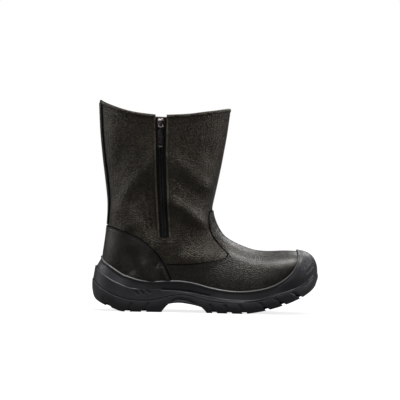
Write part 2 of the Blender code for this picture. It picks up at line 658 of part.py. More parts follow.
def build_zip_pull_tab(parts, cutters):
    """Tab hung on the pin, with its origin on the pin's axis."""
    x = zip_at(PIVOT_Z, "x")
    pin_y = slider_face() + WALL / 2 - GAP - SLIDER_DEPTH - 2.0
    neck = TAB_HALF * 0.5
    eye = PIN_RADIUS + PIN_PLAY
    shape = [(-neck, -1.4), (neck, -1.4), (neck, -3.4), (TAB_HALF, -5.0), (TAB_HALF, -TAB_LENGTH + 2.4),
             (TAB_HALF * 0.6, -TAB_LENGTH), (-TAB_HALF * 0.6, -TAB_LENGTH), (-TAB_HALF, -TAB_LENGTH + 2.4),
             (-TAB_HALF, -5.0), (-neck, -3.4)]
    obj = prism("zip_pull_tab", shape, parts, near=-TAB / 2, far=TAB / 2)
    obj.location = (x * MM, pin_y * MM, PIVOT_Z * MM)
    combine(obj, rod("tab_barrel", eye + 0.9, neck, (x, pin_y, PIVOT_Z), cutters), "UNION")
    combine(obj, rod("tab_eye_cutter", eye, neck + 3.0, (x, pin_y, PIVOT_Z), cutters), "DIFFERENCE")
    return obj


def main():
    for obj in list(bpy.data.objects):
        bpy.data.objects.remove(obj)
    parts = collection("side_zip_safety_boot")
    cutters = collection("cutters")
    pieces = {
        "upper": (build_upper(parts, cutters), "leather"),
        "midsole": (build_midsole(parts, cutters), "sole"),
        "outsole": (build_outsole(parts, cutters), "sole"),
        "insole": (build_insole(parts), "lining"),
        "vamp": (build_vamp(parts, cutters), "leather"),
        "heel_counter": (build_heel_counter(parts, cutters), "leather"),
        "back_stay": (build_back_stay(parts, cutters), "leather"),
        "collar_binding": (build_collar_binding(parts), "leather"),
        "zip_tape": (build_zip_strip("zip_tape", -WALL + GAP, TAPE, zip_outline(
            ZIP_LINE[0][0] + GAP, TAPE_TOP, None), parts, cutters), "textile"),
        "zip_chain": (build_zip_strip("zip_chain", -WALL + 2 * GAP + TAPE, CHAIN, zip_outline(
            ZIP_LINE[0][0] + 1.5, SLIDER_FOOT - GAP, CHAIN_HALF), parts, cutters), "textile"),
        "zip_slider": (build_zip_slider(parts, cutters), "metal"),
        "zip_pull_tab": (build_zip_pull_tab(parts, cutters), "metal"),
    }
    for name, (obj, kind) in pieces.items():
        obj.data.materials.append(material(f"{name}_{kind}", kind))
    for obj in cutters.objects:
        obj.hide_render = True
        obj.display_type = "WIRE"


main()
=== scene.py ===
"""Looks of a side-zip safety boot, laid out as an add-on and run as a script.

Every piece follows one skin: the section table of the boot's upper, with its soft folds. Tables are
in millimetres, meshes in metres. +X points to the toe, +Z up, and the zip is on the inner side, -Y.
"""

import math

import bmesh
import bpy
import numpy as np
from bpy.props import FloatProperty, FloatVectorProperty, PointerProperty
from mathutils import Matrix, Vector, kdtree


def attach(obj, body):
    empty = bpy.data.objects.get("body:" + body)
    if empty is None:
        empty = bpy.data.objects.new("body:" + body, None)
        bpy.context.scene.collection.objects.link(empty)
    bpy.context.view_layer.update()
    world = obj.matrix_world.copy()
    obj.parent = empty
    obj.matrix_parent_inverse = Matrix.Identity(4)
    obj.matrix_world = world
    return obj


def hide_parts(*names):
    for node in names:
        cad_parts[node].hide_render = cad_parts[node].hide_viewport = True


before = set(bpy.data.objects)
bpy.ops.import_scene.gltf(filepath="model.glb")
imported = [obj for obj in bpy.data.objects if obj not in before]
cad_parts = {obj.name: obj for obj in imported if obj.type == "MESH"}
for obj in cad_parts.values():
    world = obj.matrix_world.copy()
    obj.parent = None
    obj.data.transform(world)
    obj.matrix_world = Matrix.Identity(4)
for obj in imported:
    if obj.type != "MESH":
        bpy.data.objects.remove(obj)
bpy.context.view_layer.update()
MM = 0.001

bl_info = {
    "name": "Side-zip safety boot",
    "version": (1, 0, 0),
    "blender": (4, 5, 0),
    "location": "View3D > Sidebar > Boot",
    "description": "Builds the leather, sole, zip and stitching of a safety boot on its packed frame",
    "category": "Add Mesh",
}

# Sections of the upper from toe to collar, as in the part's source
SECTION_COLUMNS = (
    "top_x", "top_z", "low_x", "low_z", "centre", "half", "seat", "widest", "low", "crown", "sag",
)
SECTIONS = (
    (145.4, 60.0, 145.0, 54.5, -9.5, 0.0, 0.68, 0.42, 2.0, 2.2, 0.0),  # toe tip
    (143.8, 66.5, 143.2, 50.5, -9.3, 15.0, 0.68, 0.42, 2.0, 2.3, 0.0),
    (139.5, 74.5, 138.6, 45.5, -8.8, 26.5, 0.70, 0.40, 2.0, 2.4, 0.0),
    (132.5, 79.8, 131.5, 39.0, -8.0, 35.5, 0.75, 0.38, 2.0, 2.5, 0.0),
    (121.0, 83.0, 119.0, 31.5, -6.4, 43.0, 0.81, 0.36, 2.0, 2.5, 0.0),  # toe cap
    (104.0, 83.2, 103.0, 24.5, -4.2, 48.0, 0.86, 0.34, 2.0, 2.3, 0.0),
    (84.0, 82.2, 82.0, 19.5, -1.6, 50.5, 0.86, 0.32, 2.0, 2.3, 0.0),
    (66.0, 83.6, 62.0, 16.5, 0.8, 51.0, 0.86, 0.30, 2.0, 2.28, 0.0),  # ball
    (50.0, 88.8, 42.0, 16.5, 2.4, 49.5, 0.84, 0.30, 1.9, 2.2, 0.0),
    (36.0, 95.0, 14.0, 19.0, 2.9, 46.0, 0.80, 0.31, 1.8, 2.1, 0.0),
    (25.0, 102.3, -18.0, 23.0, 2.6, 43.0, 0.76, 0.36, 1.75, 2.0, 0.0),  # waist
    (17.5, 112.0, -52.0, 25.5, 1.7, 41.5, 0.74, 0.42, 1.8, 1.95, 0.0),  # instep
    (12.6, 122.0, -84.0, 25.5, 0.8, 41.0, 0.74, 0.48, 2.0, 1.95, 0.0),
    (9.8, 130.0, -108.0, 25.5, 0.2, 41.0, 0.66, 0.53, 2.15, 2.0, 0.0),  # heel seat
    (8.7, 136.0, -122.5, 27.0, 0.0, 41.2, 0.44, 0.55, 2.5, 2.0, 0.0),
    (8.5, 141.0, -129.5, 31.0, 0.0, 41.3, 0.0, 0.56, 2.7, 2.0, 0.0),  # heel end
    (9.2, 146.0, -135.5, 41.5, 0.0, 41.5, 0.0, 0.56, 2.66, 2.0, 0.0),
    (10.3, 151.5, -138.3, 56.0, 0.0, 41.7, 0.0, 0.55, 2.6, 2.0, 0.0),
    (11.8, 158.5, -138.0, 74.0, 0.0, 42.0, 0.0, 0.54, 2.45, 2.0, 0.5),
    (14.2, 170.0, -135.4, 95.0, 0.0, 42.0, 0.0, 0.53, 2.3, 2.0, 1.0),
    (17.2, 185.0, -133.0, 119.0, 0.0, 42.0, 0.0, 0.52, 2.2, 2.0, 2.0),  # ankle
    (20.3, 201.5, -132.4, 146.0, 0.0, 42.0, 0.0, 0.51, 2.1, 2.0, 4.0),
    (23.3, 219.0, -135.6, 175.0, 0.0, 42.3, 0.0, 0.50, 2.0, 2.0, 7.0),
    (26.2, 236.5, -140.0, 207.0, 0.0, 42.8, 0.0, 0.50, 2.0, 2.0, 10.0),  # shaft
    (28.6, 254.0, -143.8, 242.0, 0.0, 43.4, 0.0, 0.50, 2.0, 2.0, 13.0),
    (30.6, 271.5, -146.2, 280.8, 0.0, 44.0, 0.0, 0.50, 2.0, 2.0, 16.0),  # collar
)

# Lines of the sole seen from the side: (x, z)
RIM_LINE = (
    (-141.6, 73.7), (-137.0, 66.3), (-129.0, 60.0), (-115.5, 51.0), (-102.0, 44.7), (-88.0, 40.8),
    (-72.0, 39.4), (-50.0, 40.4), (-33.0, 40.6), (-14.0, 37.8), (7.0, 32.4), (28.0, 28.8),
    (48.0, 27.8), (68.0, 29.8), (88.0, 34.7), (102.0, 41.7), (114.0, 51.0), (121.0, 59.5),
    (125.0, 68.5), (126.2, 76.0), (125.0, 82.5), (122.8, 87.0),
)
LEDGE_LINE = (
    (-148.5, 59.5), (-142.6, 52.0), (-129.0, 42.7), (-115.0, 36.1), (-101.5, 31.2), (-84.0, 29.0),
    (-60.0, 29.5), (-33.0, 30.0), (0.0, 22.5), (25.0, 18.2), (48.0, 17.2), (66.0, 18.0),
    (79.0, 21.0), (92.0, 25.7), (108.0, 31.5), (129.0, 40.5), (142.5, 51.0), (149.0, 59.0),
)
PARTING_LINE = (
    (-152.0, 43.6), (-142.3, 33.6), (-128.6, 25.0), (-115.0, 19.8), (-101.0, 16.5), (-87.0, 15.3),
    (-74.0, 15.6), (-60.6, 17.7), (-47.0, 21.8), (-33.5, 23.6), (-20.0, 22.6), (-6.0, 18.6),
    (7.3, 16.0), (21.0, 14.6), (48.0, 14.5), (75.0, 18.4), (102.0, 27.0), (129.0, 37.7),
    (142.5, 48.1), (150.5, 56.4),
)
TREAD_LINE = (
    (-153.5, 28.5), (-151.6, 21.2), (-146.0, 14.5), (-135.0, 8.6), (-122.0, 3.8), (-109.0, 0.0),
    (-84.0, 0.0), (-58.0, 0.0), (-33.0, 0.0), (-10.0, 0.0), (10.0, 0.0), (30.0, 0.0), (52.0, 0.0),
    (66.0, 1.8), (80.0, 4.6), (98.0, 9.8), (117.0, 17.0), (134.0, 25.5), (146.0, 35.0), (151.7, 44.0),
)

# Sole in plan: x, centre line and half width at the parting line, before its ends are rounded off
PLAN = (
    (-152.0, 0.6, 43.5), (-110.0, 0.6, 43.5), (-80.0, 1.4, 43.5), (-40.0, 2.6, 43.5), (-5.0, 3.5, 46.5),
    (30.0, 3.2, 52.5), (62.0, 1.2, 56.2), (90.0, -2.0, 55.5), (120.0, -6.0, 53.0), (152.5, -9.0, 50.0),
)
# Rounding of the ends of the plan: length and power
HEEL_ROUND = (46.0, 2.2)
TOE_ROUND = (70.0, 2.5)

# Step of the cup above the ledge: its inset by x, strong at the heel and forefoot only
CUP_INSETS = (
    (-152.0, 3.0), (-108.0, 3.0), (-86.0, 1.7), (0.0, 1.7), (30.0, 2.2), (86.0, 2.2), (112.0, 1.2),
    (132.0, 0.5), (152.0, 0.3),
)
# Rings of the midsole: inset from the plan, heel end and toe end
CUP_RING = (CUP_INSETS, -147.4, 151.5)
LEDGE_RING = (1.4, -149.2, 151.7)
PARTING_RING = (0.4, -151.6, 151.8)
CUP_RISE = 1.5
PARTING_RISE = 0.9
# Ledge as shares of its depth and rises, and the edge over the parting line as insets and rises
LEDGE_PROFILE = ((0.3, 1.0), (0.7, 0.8), (0.92, 0.55), (1.0, 0.1), (1.0, -0.5))
PARTING_PROFILE = ((0.4, 0.9), (0.55, 0.45), (0.9, 0.15), (1.6, 0.12), (3.6, 0.12))
# Rim of the cup: distances of its rows under the edge, and x of the rim with x of the ring below
RIM_ROWS = (0.0, 0.15, 0.4, 0.75, 1.15, 1.6, 2.1, 2.7, 3.4, 4.2)
RIM_PAIRS = (
    (-129.0, -134.0), (-102.0, -103.0), (-50.0, -50.0), (28.0, 28.0), (88.0, 91.0), (114.0, 121.0),
)
RIM_RAISE = 2.8
RIM_BACK = 71.0
RIM_START = -136.5
RIM_ROUND = 0.05
RIM_POINTS = 220
RIM_PASSES = 14
RIM_LIP = 1.5
RIM_TOP = 3.2
# Rows of the bead nearer the edge than this take the lighter rim colour: a painted highlight along the top
# of the cup.
RIM_HIGHLIGHT_BAND = 1.6
BUMPER_TOP = 3.6
BUMPER_START = 100.0
BUMPER_PEAK = (124.6, 83.0)
BUMPER_SWELL = 1.6
TOE_BLEND = (92.0, 22.0)
# Rows of the toe's top line, x from where the rim stays under it, and the gap it keeps
TOE_ROWS = 120
TOE_FROM = 60.0
TOE_GAP = 1.0
# Bead of the rim: height, distance under the edge and half width
BEAD = (0.55, 1.3, 0.9)
BEAD_ROUND = 1.0
# Easing passes of the cup's lines, and how the rim's rise gives way to the ring below
CUP_EASE = {"knots": 40, "foot": 12, "top": 30, "toe": 10, "bead": 24}
RIM_RISE = 3.0
RIM_LEAST = 2.0
RIM_SHARE = 0.5
LIFT_POWER = 1.2
CUP_BACK = 0.9
CUP_BACK_ROWS = (1.0, 0.75, 0.5, 0.25, 0.0)
WALL_ROWS = 16
LEDGE_ROWS = 16
CUP_STATIONS = 330
RING_FINE = 3000
PLAN_POINTS = 1200

# Lines pressed into the side of the sole: x and z from and to, half width and depth
PRESSED = (
    (-93.4, 28.0, -89.6, 23.4, 0.9, 1.1),
    (-86.0, 28.6, -82.0, 23.8, 0.9, 1.1),
    (-77.6, 29.2, -73.6, 25.6, 0.9, 1.1),
    (-57.0, 30.8, -38.0, 30.4, 1.1, 1.7),
    (-38.0, 30.4, -17.3, 28.2, 1.1, 1.7),
    (-17.3, 28.2, 5.8, 23.6, 1.0, 1.4),
    (136.5, 56.5, 144.5, 65.5, 1.0, 1.5),
    (133.5, 64.0, 139.0, 72.5, 1.0, 1.0),
    (129.5, 63.0, 133.5, 70.5, 1.0, 0.8),
)
ARCH_PRESS = (
    (-42.9, 15.0, -36.0, 18.0, 1.1, 1.3),
    (-36.0, 18.0, -24.0, 16.6, 1.1, 1.3),
    (-24.0, 16.6, -13.0, 12.6, 1.1, 1.3),
)

# Tread layer: inset, ends and drop of its top rings, ring of its foot, insets and rises of its lower edge
TREAD_TOP = (
    (12.0, -136.0, 136.0, 0.25), (3.6, -148.4, 147.8, 0.18), (1.0, -151.2, 150.6, 0.16),
    (0.4, -152.0, 151.7, 0.3), (0.2, -152.4, 152.0, 0.7), (0.1, -152.6, 152.1, 1.3),
)
TREAD_FOOT = (1.9, -151.4, 151.3)
TREAD_FOOT_RISE = 1.5
TREAD_EDGE = ((2.15, 0.8), (2.6, 0.3), (3.2, 0.05), (4.2, 0.0), (8.0, 0.0))
TREAD_ENDS = (-151.2, 151.1)
TREAD_STATIONS = 300
TREAD_ROWS = 16
TREAD_SWELL = 0.9

# Arch of the tread seen from the side, and its grooves: x, z, width, depth and lean
ARCH_OUTLINE = (
    (-58.5, -6.0), (-57.5, 0.6), (-50.0, 9.8), (-45.0, 12.0), (-33.5, 13.0), (-20.0, 11.4), (-6.0, 8.2),
    (-2.0, 5.6), (2.5, 0.6), (4.0, -6.0),
)
GROOVES = (
    (-129.0, 6.5, 8.0, 4.0, -35.0),
    (-104.0, 0.0, 9.5, 3.6, 30.0),
    (-82.0, 0.0, 9.5, 3.6, 30.0),
    (14.0, 0.0, 9.0, 3.6, -32.0),
    (34.0, 0.0, 9.0, 3.6, -32.0),
    (54.0, 0.4, 9.0, 3.6, -32.0),
    (84.5, 6.0, 9.0, 4.2, -50.0),
    (106.5, 13.0, 9.0, 4.4, -55.0),
    (129.0, 23.0, 8.5, 4.4, -60.0),
)
# Groove in section: shares of its width, the round of its roof, and how far it runs below the tread
GROOVE_SHOULDER = 0.34
GROOVE_ROOF = 0.18
GROOVE_ROUND = 0.9
GROOVE_BELOW = 8.0
GROOVE_LAND = 13.0
# Each groove's mark up the side wall: height, half width and depth
SIDE_GROOVE = (10.5, 1.5, 1.3)
CUT_REACH = 90.0

# Leather overlays, as edges seen from the side: (x, z)
COUNTER_EDGE = (
    (-136.0, 116.8), (-130.0, 113.6), (-116.5, 109.0), (-103.0, 104.0), (-89.0, 97.5), (-75.5, 87.6),
    (-68.0, 80.4), (-61.0, 71.6), (-54.6, 61.6), (-50.3, 52.9), (-45.2, 41.2), (-42.0, 34.0),
)
COUNTER_START = -129.0
COUNTER_BACK = 115.4
COUNTER_COLUMNS = 130
COUNTER_END = 6
VAMP_EDGE = (
    (14.0, 141.5), (9.0, 137.8), (4.4, 134.6), (3.0, 129.5), (4.4, 123.0), (8.6, 113.2), (15.3, 101.5),
    (23.6, 91.5), (29.4, 84.5), (30.4, 78.5), (26.0, 72.6), (13.0, 68.4), (-8.0, 65.3), (-32.0, 63.4),
    (-53.0, 63.6),
)
VAMP_PEAK = (8.7, 137.6)
VAMP_PEAK_ROUND = (6.6, 120.0)
VAMP_TAIL = (64.5, 0.4)
VAMP_SHARES = ((0.0, 0.44, 1.0), (0.0, 0.53, 1.0))
VAMP_COLUMNS = 170
# Foot of the overlays under the rim: drop, points along it, and x where the counter meets the vamp
PANEL_FOOT = 4.0
PANEL_POINTS = 400
PANEL_SPLIT = -43.6
# Rise of the counter over the vamp: height where it starts, height it takes, and rows it fades over
LAP_TOP = 70.0
LAP_EASE = 8.0
LAP_ROWS = 6.0
BACK_STAY_HALF = 12.0
BACK_STAY_FOOT = 116.2
BACK_STAY_POINTS = (110, 80)
BACK_STAY_END = 2
# Leather: wall, overlays with their lip, round and underside, and the sunk line that holds the stitches
WALL = 2.4
OVERLAY_TOP = 1.7
OVERLAY_LIP = 0.2
OVERLAY_ROUND = 0.8
OVERLAY_UNDER = 0.12
STITCH_ROWS = (2.5, 5.0)
STITCH_SUNK = 0.3
STITCH_WIDTH = 0.5
# Stitches: height on plain leather, length as a share of the pitch, and points along a row
STITCH_LIFT = 0.1
STITCH_SHARE = 0.84
SEAT_POINTS = 400
# Rolled edge of the collar: half height, half thickness, seat over the leather, and its slight wave
ROLL = (2.9, 2.1)
ROLL_SEAT = 1.3
ROLL_WAVE = (0.12, 60.0)
COLLAR_FOLD = 0.8
COLLAR_ZIP = 262.0
ROLL_SIDES = 18
COLLAR_GAP = 0.4
COLLAR_POINTS = (260, 70)
COLLAR_ROW = 5.0

# Zip: height, x and half width of its slot
ZIP_COLUMNS = ("z", "x", "half")
ZIP_LINE = ((100.2, -55.4, 6.3), (164.0, -60.0, 6.5), (218.0, -62.4, 6.7), (276.0, -62.8, 7.4))
SLOT_FOOT = 100.2
SLOT_TOP = 300.0
SLOT_CUT = (-90.0, -5.0)
# Tape and welts: foot below the slot, top, shares of the half width, and depth or round
TAPE_FOOT = 5.0
TAPE_TOP = 263.0
TAPE_SHARE = 1.45
TAPE_FACES = (0.15, 1.0)
TAPE_GRID = (121, 13)
WELT_TOP = 265.0
WELT_SHARE = 1.19
WELT_DEPTH = 0.35
WELT_ROUND = (1.25, 1.0)
WELT_POINTS = 131
WELT_SIDES = 12
# Teeth: share of the half width and tilt of each row, depth, and length, width and height of a tooth
TEETH = ((-0.26, 24.0), (0.26, -24.0))
TEETH_DEPTH = 1.55
TOOTH = (3.0, 1.15, 1.7)
# Where the teeth start over the slot's foot and end over the slider's, and points along a row
TEETH_ENDS = (1.0, 2.0)
TEETH_POINTS = 120
# Slider and tab on their pin, whose x and y are given with its height
PIVOT = (-62.725, -48.918)
PIVOT_Z = 247.0
SLIDER_FOOT = 244.0
SLIDER_HALF = 4.8
SLIDER_DEPTH = 4.2
SLIDER_FRONT = 2.0
SLIDER_BEVEL = 0.32
# Slider's face as shares of its half width and heights over its foot; its lugs in y and z from the pin
SLIDER_FACE = ((0.55, 0.0), (0.72, 1.2), (0.98, 6.0), (1.0, 9.0), (0.92, 12.8), (0.6, 15.0))
SLIDER_LUG = ((-1.5, -1.2), (-0.9, -1.5), (3.0, -1.5), (3.0, 4.5), (-0.6, 2.4), (-1.5, 1.2))
LUG = 1.2
LUG_PLAY = 0.3
PIN = 0.8
PIN_SEAT = 0.8
PIN_SIDES = 28
# Tab as shares of its half width and heights from the pin; its sunk face: top, foot, share and depth
TAB_FACE = (
    (0.5, -1.2), (0.5, -3.0), (0.8, -4.4), (1.0, -6.0), (1.0, -23.0), (0.86, -24.8), (0.5, -26.0),
)
TAB_HALF = 3.6
TAB_NECK = 0.5
TAB = 1.5
TAB_BARREL = 1.75
TAB_EYE = 0.9
TAB_BEVEL = 0.28
TAB_SUNK = (-8.0, -21.0, 0.55, 0.35)
CUT_CLEAR = 3.0

# Bar tacks at the foot of the counter's front edge and under the zip
TACK_INSET = 3.2
TACK_TOP = 61.0
TACK_FOOT = 43.0
TACK_PITCH = 2.1
TACK_TILT = 62.0
TACK_LIFT = 0.05
TACK = (4.2, 0.9, 0.8)
ZIP_TACKS = ((-68.0, -59.5), (-51.5, -43.0))
ZIP_TACK_DROP = 6.0
ZIP_TACK_TILT = 40.0
ZIP_TACK_POINTS = 20
# Seam beside the zip: distance from the slot, foot under it, and points along it
ZIP_SEAM = 3.4
ZIP_SEAM_FOOT = 4.0
ZIP_SEAM_POINTS = 140

# Insole: places across, play to the wall, thickness, round of its edge and rise of its sides
INSOLE_ACROSS = 25
INSOLE_PLAY = 0.6
INSOLE_TOP = 4.0
INSOLE_ROUND = 1.2
INSOLE_CUP = 1.4
INSOLE_POWERS = (12, 4)
INSOLE_GAP = 0.05
INSOLE_STRIDE = 3
INSOLE_ENDS = (-128.6, 58.0, 9.0)

# Folds of the leather seen from the side: side, x and z from and to, half width and height,
# which is above 0 for a soft ridge and below 0 for a trough
FOLD_FADE = 11.0
FOLD_END = 0.25
FOLDS = (
    (-1, -128.0, 126.0, -74.0, 206.0, 10.0, 2.9),
    (-1, -110.0, 226.0, -122.0, 180.0, 11.0, -1.8),
    (-1, -77.0, 178.0, -69.0, 98.0, 9.0, -6.0),
    (-1, -114.0, 142.0, -98.0, 108.0, 13.0, 3.0),
    (-1, -46.0, 150.0, 2.0, 114.0, 8.5, 5.6),
    (-1, -40.0, 180.0, 0.0, 150.0, 7.0, -1.0),
    (-1, -48.0, 206.0, 12.0, 160.0, 10.0, 2.9),
    (-1, -52.0, 148.0, -47.0, 98.0, 6.5, -3.6),
    (-1, -36.0, 76.0, 14.0, 70.0, 13.0, 3.6),
    (-1, 2.0, 226.0, 4.0, 200.0, 8.0, -1.6),
    (-1, -90.0, 68.0, -66.0, 38.0, 8.0, 2.4),
    (-1, -104.0, 84.0, -90.0, 50.0, 9.0, -2.6),
    (-1, -72.0, 78.0, -60.0, 62.0, 6.0, -2.0),
    (1, -122.0, 164.0, -62.0, 230.0, 11.0, 3.2),
    (1, -98.0, 160.0, -42.0, 132.0, 8.0, -3.4),
    (1, -62.0, 172.0, -4.0, 140.0, 7.5, 3.6),
    (1, -44.0, 222.0, 10.0, 184.0, 9.5, 2.8),
    (1, -44.0, 196.0, -8.0, 168.0, 7.0, -2.4),
    (1, -38.0, 128.0, 0.0, 114.0, 7.0, -2.4),
    (1, -40.0, 94.0, 4.0, 88.0, 11.0, 2.6),
)

# Leathers: name, tint, shares of the pebble size and depth, roughness, coat, x where it goes smooth, shine
PEBBLE_SHAPE = (0.9, 0.9, 1.5)
WARM_SHINE = (1.0, 0.9, 0.75, 1.0)
CLEAR_SHINE = (1.0, 0.95, 0.88, 1.0)
LEATHERS = {
    "shaft": ("Boot leather", (1.0, 1.0, 1.0), 1.0, 1.0, 0.4, 0.03, None, WARM_SHINE),
    "vamp": ("Vamp leather", (0.8, 0.78, 0.76), 1.0, 0.85, 0.44, 0.05, (50.0, 112.0), CLEAR_SHINE),
    "counter": ("Counter leather", (0.85, 0.95, 1.2), 0.8, 0.25, 0.46, 0.06, None, CLEAR_SHINE),
    # The folded edges of the slot are 4.5 times lighter than the shaft: a painted highlight along them.
    "lit_welt": ("Folded leather", (4.5, 4.5, 4.5), 0.5, 0.2, 0.36, 0.08, None, WARM_SHINE),
}
BEAD_SIZES = ("Length", "Width", "Height")
# Heights in metres between which the plating wears through, on the slider and on the tab
METAL_TOP = (0.2562, 0.2586)
METAL_FOOT = (0.2236, 0.2215)

# Stage, in metres: lights by kind, place, size and power, then floor, sky and camera
LIGHTS = (
    ("key_light", "SUN", (0.05, -0.2, 1.5), 24.0, 6.5),
    ("front_light", "AREA", (-0.5, -1.7, 0.8), 0.8, 9.0),
    ("fill_light", "AREA", (1.4, -0.2, 0.7), 0.7, 21.0),
    ("edge_light", "AREA", (-1.4, 0.2, 0.8), 0.8, 18.0),
    ("back_light", "AREA", (0.6, 1.1, 1.2), 0.9, 18.0),
)
LIGHT_AIM = (0.0, 0.0, 0.12)
FLOOR_HALF = 30.0
FLOOR_DIM = (0.13, 0.13, 0.13, 1.0)
FLOOR_GLOW = 0.8
SKY_LIGHT = 0.045
CAMERA = (-0.0086, -3.2, 0.1513)
CAMERA_ROLL = -1.0
PHOTO_WIDTH = 0.5428
SENSOR = 36.0


TINY = 1e-9


def smooth(values, steps):
    """Catmull-Rom curve through rows of values, with a number of steps to each gap."""
    rows = np.asarray(values, dtype=float)
    ends = np.vstack([2 * rows[:1] - rows[1:2], rows, 2 * rows[-1:] - rows[-2:-1]])
    out = []
    for i in range(len(rows) - 1):
        a, b, c, d = ends[i:i + 4]
        for k in range(steps):
            t = k / steps
            out.append(0.5 * (2 * b + (c - a) * t + (2 * a - 5 * b + 4 * c - d) * t * t
                              + (3 * b - a - 3 * c + d) * t ** 3))
    out.append(rows[-1])
    return np.array(out)


def run_along(points):
    """Length along a polyline up to each of its points."""
    return np.concatenate([[0.0], np.cumsum(np.linalg.norm(np.diff(points, axis=0), axis=1))])


def columns_at(spots, run, values):
    """Rows of values at spots along a run."""
    return np.stack([np.interp(spots, run, column) for column in np.transpose(values)], axis=1)


def evenly(points, count):
    """Points spread evenly along a polyline."""
    run = run_along(points)
    return columns_at(np.linspace(0.0, run[-1], count + 1), run, points)


def eased(values, passes):
    """Values smoothed along their first axis, with both ends kept."""
    out = np.array(values, dtype=float)
    for _ in range(passes):
        out[1:-1] = 0.25 * out[:-2] + 0.5 * out[1:-1] + 0.25 * out[2:]
    return out


def unit(vectors):
    """Vectors brought to a length of 1."""
    return vectors / np.maximum(np.linalg.norm(vectors, axis=-1, keepdims=True), TINY)


def line_z(line, x):
    """Height of a side-view line at x, never under the floor."""
    pts = smooth(line, 10)
    return np.maximum(np.interp(x, pts[:, 0], pts[:, 1]), 0.0)


def round_step(d, radius):
    """Rounded rise from 0 to 1 over a radius."""
    t = np.clip(np.asarray(d, dtype=float) / radius, 0.0, 1.0)
    return np.sqrt(np.clip(1 - (1 - t) ** 2, 0.0, 1.0))


class Skin:
    """Outer face of the upper as a fine grid: rows from toe to collar, columns round the boot."""

    ROW_STEPS = 14
    HALF = 96
    ARC_STEPS = 140
    SHAFT_ROWS = 30
    FIND_PASSES = 14
    FIND_STRIDE = 2.0
    FIND_DAMP = 1e-4
    SEAT_BACK = -129.4
    SEAT_HIGH = 60.0
    HEEL_END = (-129.5, 31.0)
    CLOSED_GAP = 0.05

    def __init__(self):
        rows = [dict(zip(SECTION_COLUMNS, row)) for row in smooth(SECTIONS, self.ROW_STEPS)]
        self.points = np.array([self._row(row) for row in rows])
        self.count = len(rows)
        self.normals = self._normals()
        self.lift = self._folds()
        self.trees = {side: self._tree(side) for side in (-1, 1)}

    def _row(self, row):
        """One ring of the skin, from the low point up the inner side and down the outer side."""
        half = max(row["half"], 0.0)
        seated = row["low_x"] > self.SEAT_BACK and row["low_z"] < self.SEAT_HIGH
        seat = max(row["seat"], 0.0) if seated else 0.0
        a = np.linspace(0.0, math.pi / 2, self.ARC_STEPS)
        low_h = row["widest"] * (1 - np.cos(a) ** (2 / row["low"]))
        low_y = seat + (1 - seat) * np.sin(a) ** (2 / row["low"])
        top_h = row["widest"] + (1 - row["widest"]) * np.sin(a) ** (2 / row["crown"])
        top_y = np.cos(a) ** (2 / row["crown"])
        h = np.concatenate([low_h, top_h[1:]])
        y = np.concatenate([low_y, top_y[1:]])
        reach = math.hypot(row["top_x"] - row["low_x"], row["top_z"] - row["low_z"])
        run = run_along(np.stack([h * reach, y * max(half, 1e-3)], axis=1))
        h, y = columns_at(np.linspace(0.0, run[-1], self.HALF + 1), run, np.stack([h, y], axis=1)).T
        x = row["low_x"] + h * (row["top_x"] - row["low_x"])
        z = row["low_z"] + h * (row["top_z"] - row["low_z"])
        z = z - row["sag"] * np.sin(math.pi * np.clip(h, 0, 1) ** COLLAR_FOLD)
        inner = np.stack([x, row["centre"] - half * y, z], axis=1)
        outer = np.stack([x, row["centre"] + half * y, z], axis=1)[::-1][1:]
        return np.vstack([inner, outer])

    def _normals(self):
        """Outward directions, joined where the back line closes and at the toe."""
        p = self.points
        across = np.gradient(p, axis=1)
        padded = np.concatenate([p[:, -2:-1], p, p[:, 1:2]], axis=1)
        closed = np.linalg.norm(p[:, 0] - p[:, -1], axis=1) < self.CLOSED_GAP
        across[closed] = ((padded[:, 2:] - padded[:, :-2]) / 2)[closed]
        n = unit(np.cross(across, np.gradient(p, axis=0)))
        n[0] = n[1] + n[1][::-1]
        n[closed, 0] = n[closed, -1] = n[closed, 0] + n[closed, -1]
        n = unit(n)
        shaft = p[-self.SHAFT_ROWS:]
        outward = np.sum(n[-self.SHAFT_ROWS:] * (shaft - shaft.mean(axis=1, keepdims=True)))
        return n if outward > 0 else -n

    def _folds(self):
        """Height of the folds over the plain skin; they fade out towards the front and back lines."""
        x, z = self.points[:, :, 0], self.points[:, :, 2]
        column = np.arange(2 * self.HALF + 1)
        side = np.where(column < self.HALF, -1, 1)[None, :]
        gone = np.minimum(np.minimum(column, 2 * self.HALF - column), np.abs(column - self.HALF))
        gone = np.clip(gone / FOLD_FADE, 0.0, 1.0)
        fade = (gone ** 2 * (3 - 2 * gone))[None, :]
        lift = np.zeros(x.shape)
        for s, x0, z0, x1, z1, width, height in FOLDS:
            dx, dz = x1 - x0, z1 - z0
            length = math.hypot(dx, dz)
            t = ((x - x0) * dx + (z - z0) * dz) / length ** 2
            off = ((x - x0) * dz - (z - z0) * dx) / length
            ends = np.exp(-(np.maximum(np.abs(t - 0.5) - FOLD_END, 0.0) / FOLD_END) ** 2)
            lift += np.where(side == s, fade * height * ends * np.exp(-(off / width) ** 2), 0.0)
        return lift

    def _tree(self, side):
        """Search tree of one side as seen from the side, with the rows and columns it holds."""
        cols = np.arange(self.HALF + 1) + (0 if side < 0 else self.HALF)
        spots = np.array([(r, c) for r in range(0, self.count, 2) for c in cols[::2]])
        tree = kdtree.KDTree(len(spots))
        for i, (x, _, z) in enumerate(self.points[spots[:, 0], spots[:, 1]]):
            tree.insert((x, 0.0, z), i)
        tree.balance()
        return tree, spots

    def sample(self, grid, s, v):
        """Value of a grid at fractional rows and columns."""
        s = np.clip(np.asarray(s, dtype=float), 0.0, self.count - 1.001)
        v = np.clip(np.asarray(v, dtype=float), 0.0, 2 * self.HALF - 0.001)
        r, c = s.astype(int), v.astype(int)
        fr, fc = s - r, v - c
        if grid.ndim == 3:
            fr, fc = fr[..., None], fc[..., None]
        return ((1 - fr) * (1 - fc) * grid[r, c] + (1 - fr) * fc * grid[r, c + 1]
                + fr * (1 - fc) * grid[r + 1, c] + fr * fc * grid[r + 1, c + 1])

